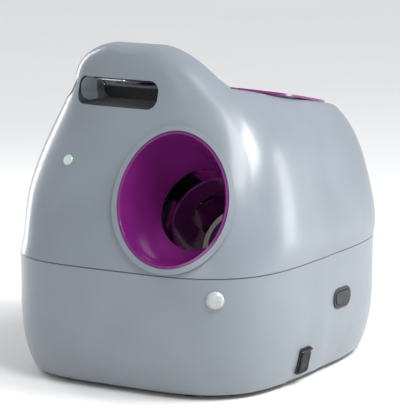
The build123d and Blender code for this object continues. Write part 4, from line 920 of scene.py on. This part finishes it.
# Rounded rectangles, one row for each step of the edge: a corner's middle plus its radius times (cos t, sin t),
# a quarter turn for each corner.
def coverGrid():
    w, inset = np.array(cover["edge"]).T[:, :, None]
    low, high = cover["v"]
    count = cover["cornerSteps"] + 1
    turn = np.add.outer(np.arange(4) * np.pi / 2, np.linspace(0, np.pi / 2, count)).ravel()
    signU, signV = np.repeat((1, -1, -1, 1), count), np.repeat((1, 1, -1, -1), count)
    corner = np.maximum(cover["leastCorner"], cover["corner"] - inset)
    u = signU * (cover["halfWidth"] - inset - corner) + corner * np.cos(turn)
    v = (low + high) / 2 + signV * ((high - low) / 2 - inset - corner) + corner * np.sin(turn)
    return onCover(u, v, cover["back"] + w)


# A plain bar on the cover, with one rectangle at each of its two heights.
def coverBar(bar):
    u = np.array((-1, 1, 1, -1)) * bar["halfU"]
    v = np.repeat(bar["v"], 2)
    return onCover(u, v, cover["back"] + np.array(bar["w"])[:, None])


hinge = cover["hinge"]
hingeEnd = [(hinge["pin"], 0), (hinge["radius"] - hinge["bevel"], 0), (hinge["radius"], hinge["bevel"])]
hingeProfile = hingeEnd + [(radius, 2 * hinge["halfU"] - height) for radius, height in reversed(hingeEnd)]
hingeGrid = turnedGrid(hingeProfile + hingeEnd[:1], onCover(-hinge["halfU"], hinge["v"], hinge["w"]), (0, 1, 0), 32)
coverParts = [(withEnds(grid), True) for grid in (coverGrid(), coverBar(cover["web"]), coverBar(cover["tab"]))]
coverMesh = meshFromGrids("inletCover", coverParts + [(hingeGrid, True)])
addPiece("inletCover", coverMesh, "jack_cover", slotOf["jack_cover"], "jack_cover")
print("inletCover", len(coverMesh.polygons), "faces")

# Printed marks on the dial's flat face. An angle is counted clockwise from the top, as seen from the -X side.
dial = {
    "face": -0.133, "y": 0.0598604, "z": 0.126, "proud": 0.0001, "swing": 68.1, "numbers": 9,
    "numberRadius": 0.0325, "numberSize": 0.00812, "ring": (0.0246, 0.0250), "ringStep": 2,
    "tick": (0.0256, 0.0288), "tickHalf": 0.0004, "smallTick": (0.0256, 0.0274), "smallHalf": 0.00025,
}


# (face - proud, y - radius * sin(angle), z + radius * cos(angle)), moved along the circle by an offset.
def dialPoint(angle, radius, proud=0.0, offset=0.0):
    turn = np.radians(angle)
    y = dial["y"] - radius * np.sin(turn) - offset * np.cos(turn)
    z = dial["z"] + radius * np.cos(turn) - offset * np.sin(turn)
    return np.stack(np.broadcast_arrays(dial["face"] - proud, y, z), -1)


# The same rectangle, front to back, at each angle of the ring or at each end of a tick.
section = np.array((1, 1, -1, -1)) * dial["proud"]
ringSteps = math.ceil(2 * dial["swing"] / dial["ringStep"])
ringAngles = np.linspace(-dial["swing"], dial["swing"], ringSteps + 1)[:, None]
markGrids = [dialPoint(ringAngles, np.take(dial["ring"], (0, 1, 1, 0)), section)]
pitch = 2 * dial["swing"] / (dial["numbers"] - 1)
for index in range(2 * dial["numbers"] - 1):
    radii, half = (dial["smallTick"], dial["smallHalf"]) if index % 2 else (dial["tick"], dial["tickHalf"])
    across = np.array((-1, 1, 1, -1)) * half
    markGrids.append(dialPoint(-dial["swing"] + pitch * index / 2, np.array(radii)[:, None], section, across))
tickMesh = meshFromGrids("dialTicks", [(withEnds(grid), True) for grid in markGrids])
addPiece("dialTicks", tickMesh, "housing", "lens_white")
tickMesh.materials[0] = printWhite

numberWork = bmesh.new()
for index in range(dial["numbers"]):
    text = bpy.data.curves.new("digit", "FONT")
    text.body = str(index + 1)
    text.size = dial["numberSize"]
    text.align_x = "CENTER"
    text.align_y = "CENTER"
    text.extrude = dial["proud"]
    text.resolution_u = 8
    holder = bpy.data.objects.new("digit", text)
    digitMesh = bpy.data.meshes.new_from_object(holder)
    flat = np.empty(len(digitMesh.vertices) * 3, dtype=np.float32)
    digitMesh.vertices.foreach_get("co", flat)
    x, y, z = flat.reshape(-1, 3).T
    centre = dialPoint(-dial["swing"] + pitch * index, dial["numberRadius"])
    digitMesh.vertices.foreach_set("co", (centre + np.stack((-z, -x, y), 1)).ravel())
    numberWork.from_mesh(digitMesh)
    bpy.data.objects.remove(holder)
    bpy.data.meshes.remove(digitMesh)
    bpy.data.curves.remove(text)
numberMesh = closeMesh(numberWork, "dialNumbers")
addPiece("dialNumbers", numberMesh, "housing", "lens_white")
numberMesh.materials[0] = printWhite
print("dial marks", len(tickMesh.polygons) + len(numberMesh.polygons), "faces")


# A pale floor, a soft world, a sun and four lamps that look at one point.
studio = {
    "floorHalf": 9.0, "floorScale": 3.0, "floorDeep": (0.80, 0.80, 0.79), "floorLight": (0.84, 0.84, 0.83),
    "floorRough": 0.75, "sky": (0.93, 0.95, 1.0, 1), "skyStrength": 0.5, "sunFrom": (0.75, -0.25, 1.0),
    "sunPower": 1.6, "sunSpread": 24, "target": (0, 0, 0.15),
}
# Each lamp's name, place, size and power.
lamps = [
    ("keyUpperRight", (1.1, 0.2, 1.25), (0.5, 0.5), 16), ("sideLeft", (-1.0, 0.25, 0.45), (0.25, 1.0), 5),
    ("sideRight", (1.15, 1.0, 0.4), (0.25, 1.0), 7), ("frontFill", (0.2, -1.9, 0.9), (1.2, 1.2), 6),
]


# The turn with which -Z looks along a direction, with Y upwards.
def lookAlong(direction):
    return direction.to_track_quat("-Z", "Y").to_euler()


floorMesh = bpy.data.meshes.new("floor")
work = bmesh.new()
bmesh.ops.create_grid(work, x_segments=1, y_segments=1, size=studio["floorHalf"])
work.to_mesh(floorMesh)
work.free()
floor = addToScene("floor", floorMesh)
floorShade = Shade("paleFloor")
floorPatches = floorShade.noise(studio["floorScale"], detail=2.0)
floorShade.colour(floorShade.mix(floorPatches, studio["floorDeep"], studio["floorLight"]))
floorShade.fixed(Roughness=studio["floorRough"])
floorMesh.materials.append(floorShade.material)

world = bpy.data.worlds.new("studio")
bpy.context.scene.world = world
world.use_nodes = True
sky = world.node_tree.nodes["Background"].inputs
sky["Color"].default_value = studio["sky"]
sky["Strength"].default_value = studio["skyStrength"]

sunData = bpy.data.lights.new("softSun", "SUN")
sunData.energy = studio["sunPower"]
sunData.angle = math.radians(studio["sunSpread"])
sun = addToScene("softSun", sunData)
sun.rotation_euler = lookAlong(-Vector(studio["sunFrom"]))

for name, place, size, power in lamps:
    data = bpy.data.lights.new(name, "AREA")
    data.shape = "RECTANGLE"
    data.size, data.size_y = size
    data.energy = power
    light = addToScene(name, data)
    light.location = place
    light.rotation_euler = lookAlong(Vector(studio["target"]) - Vector(place))

# The camera stands at target + distance * (sin a * cos e, -cos a * cos e, sin e) and looks at the target.
view = {
    "azimuth": 30.0, "elevation": 10.5, "distance": 2.3, "target": (0, 0, 0.138), "lens": 222.0, "sensor": 36.0,
}
camera = addToScene("camera", bpy.data.cameras.new("camera"))
turn, rise = math.radians(view["azimuth"]), math.radians(view["elevation"])
back = Vector((math.sin(turn) * math.cos(rise), -math.cos(turn) * math.cos(rise), math.sin(rise)))
camera.location = Vector(view["target"]) + back * view["distance"]
camera.rotation_euler = lookAlong(-back)
camera.data.lens = view["lens"]
camera.data.sensor_width = view["sensor"]
bpy.context.scene.camera = camera
bpy.context.scene.view_settings.view_transform = "Standard"
print("camera", tuple(round(c, 3) for c in camera.location))
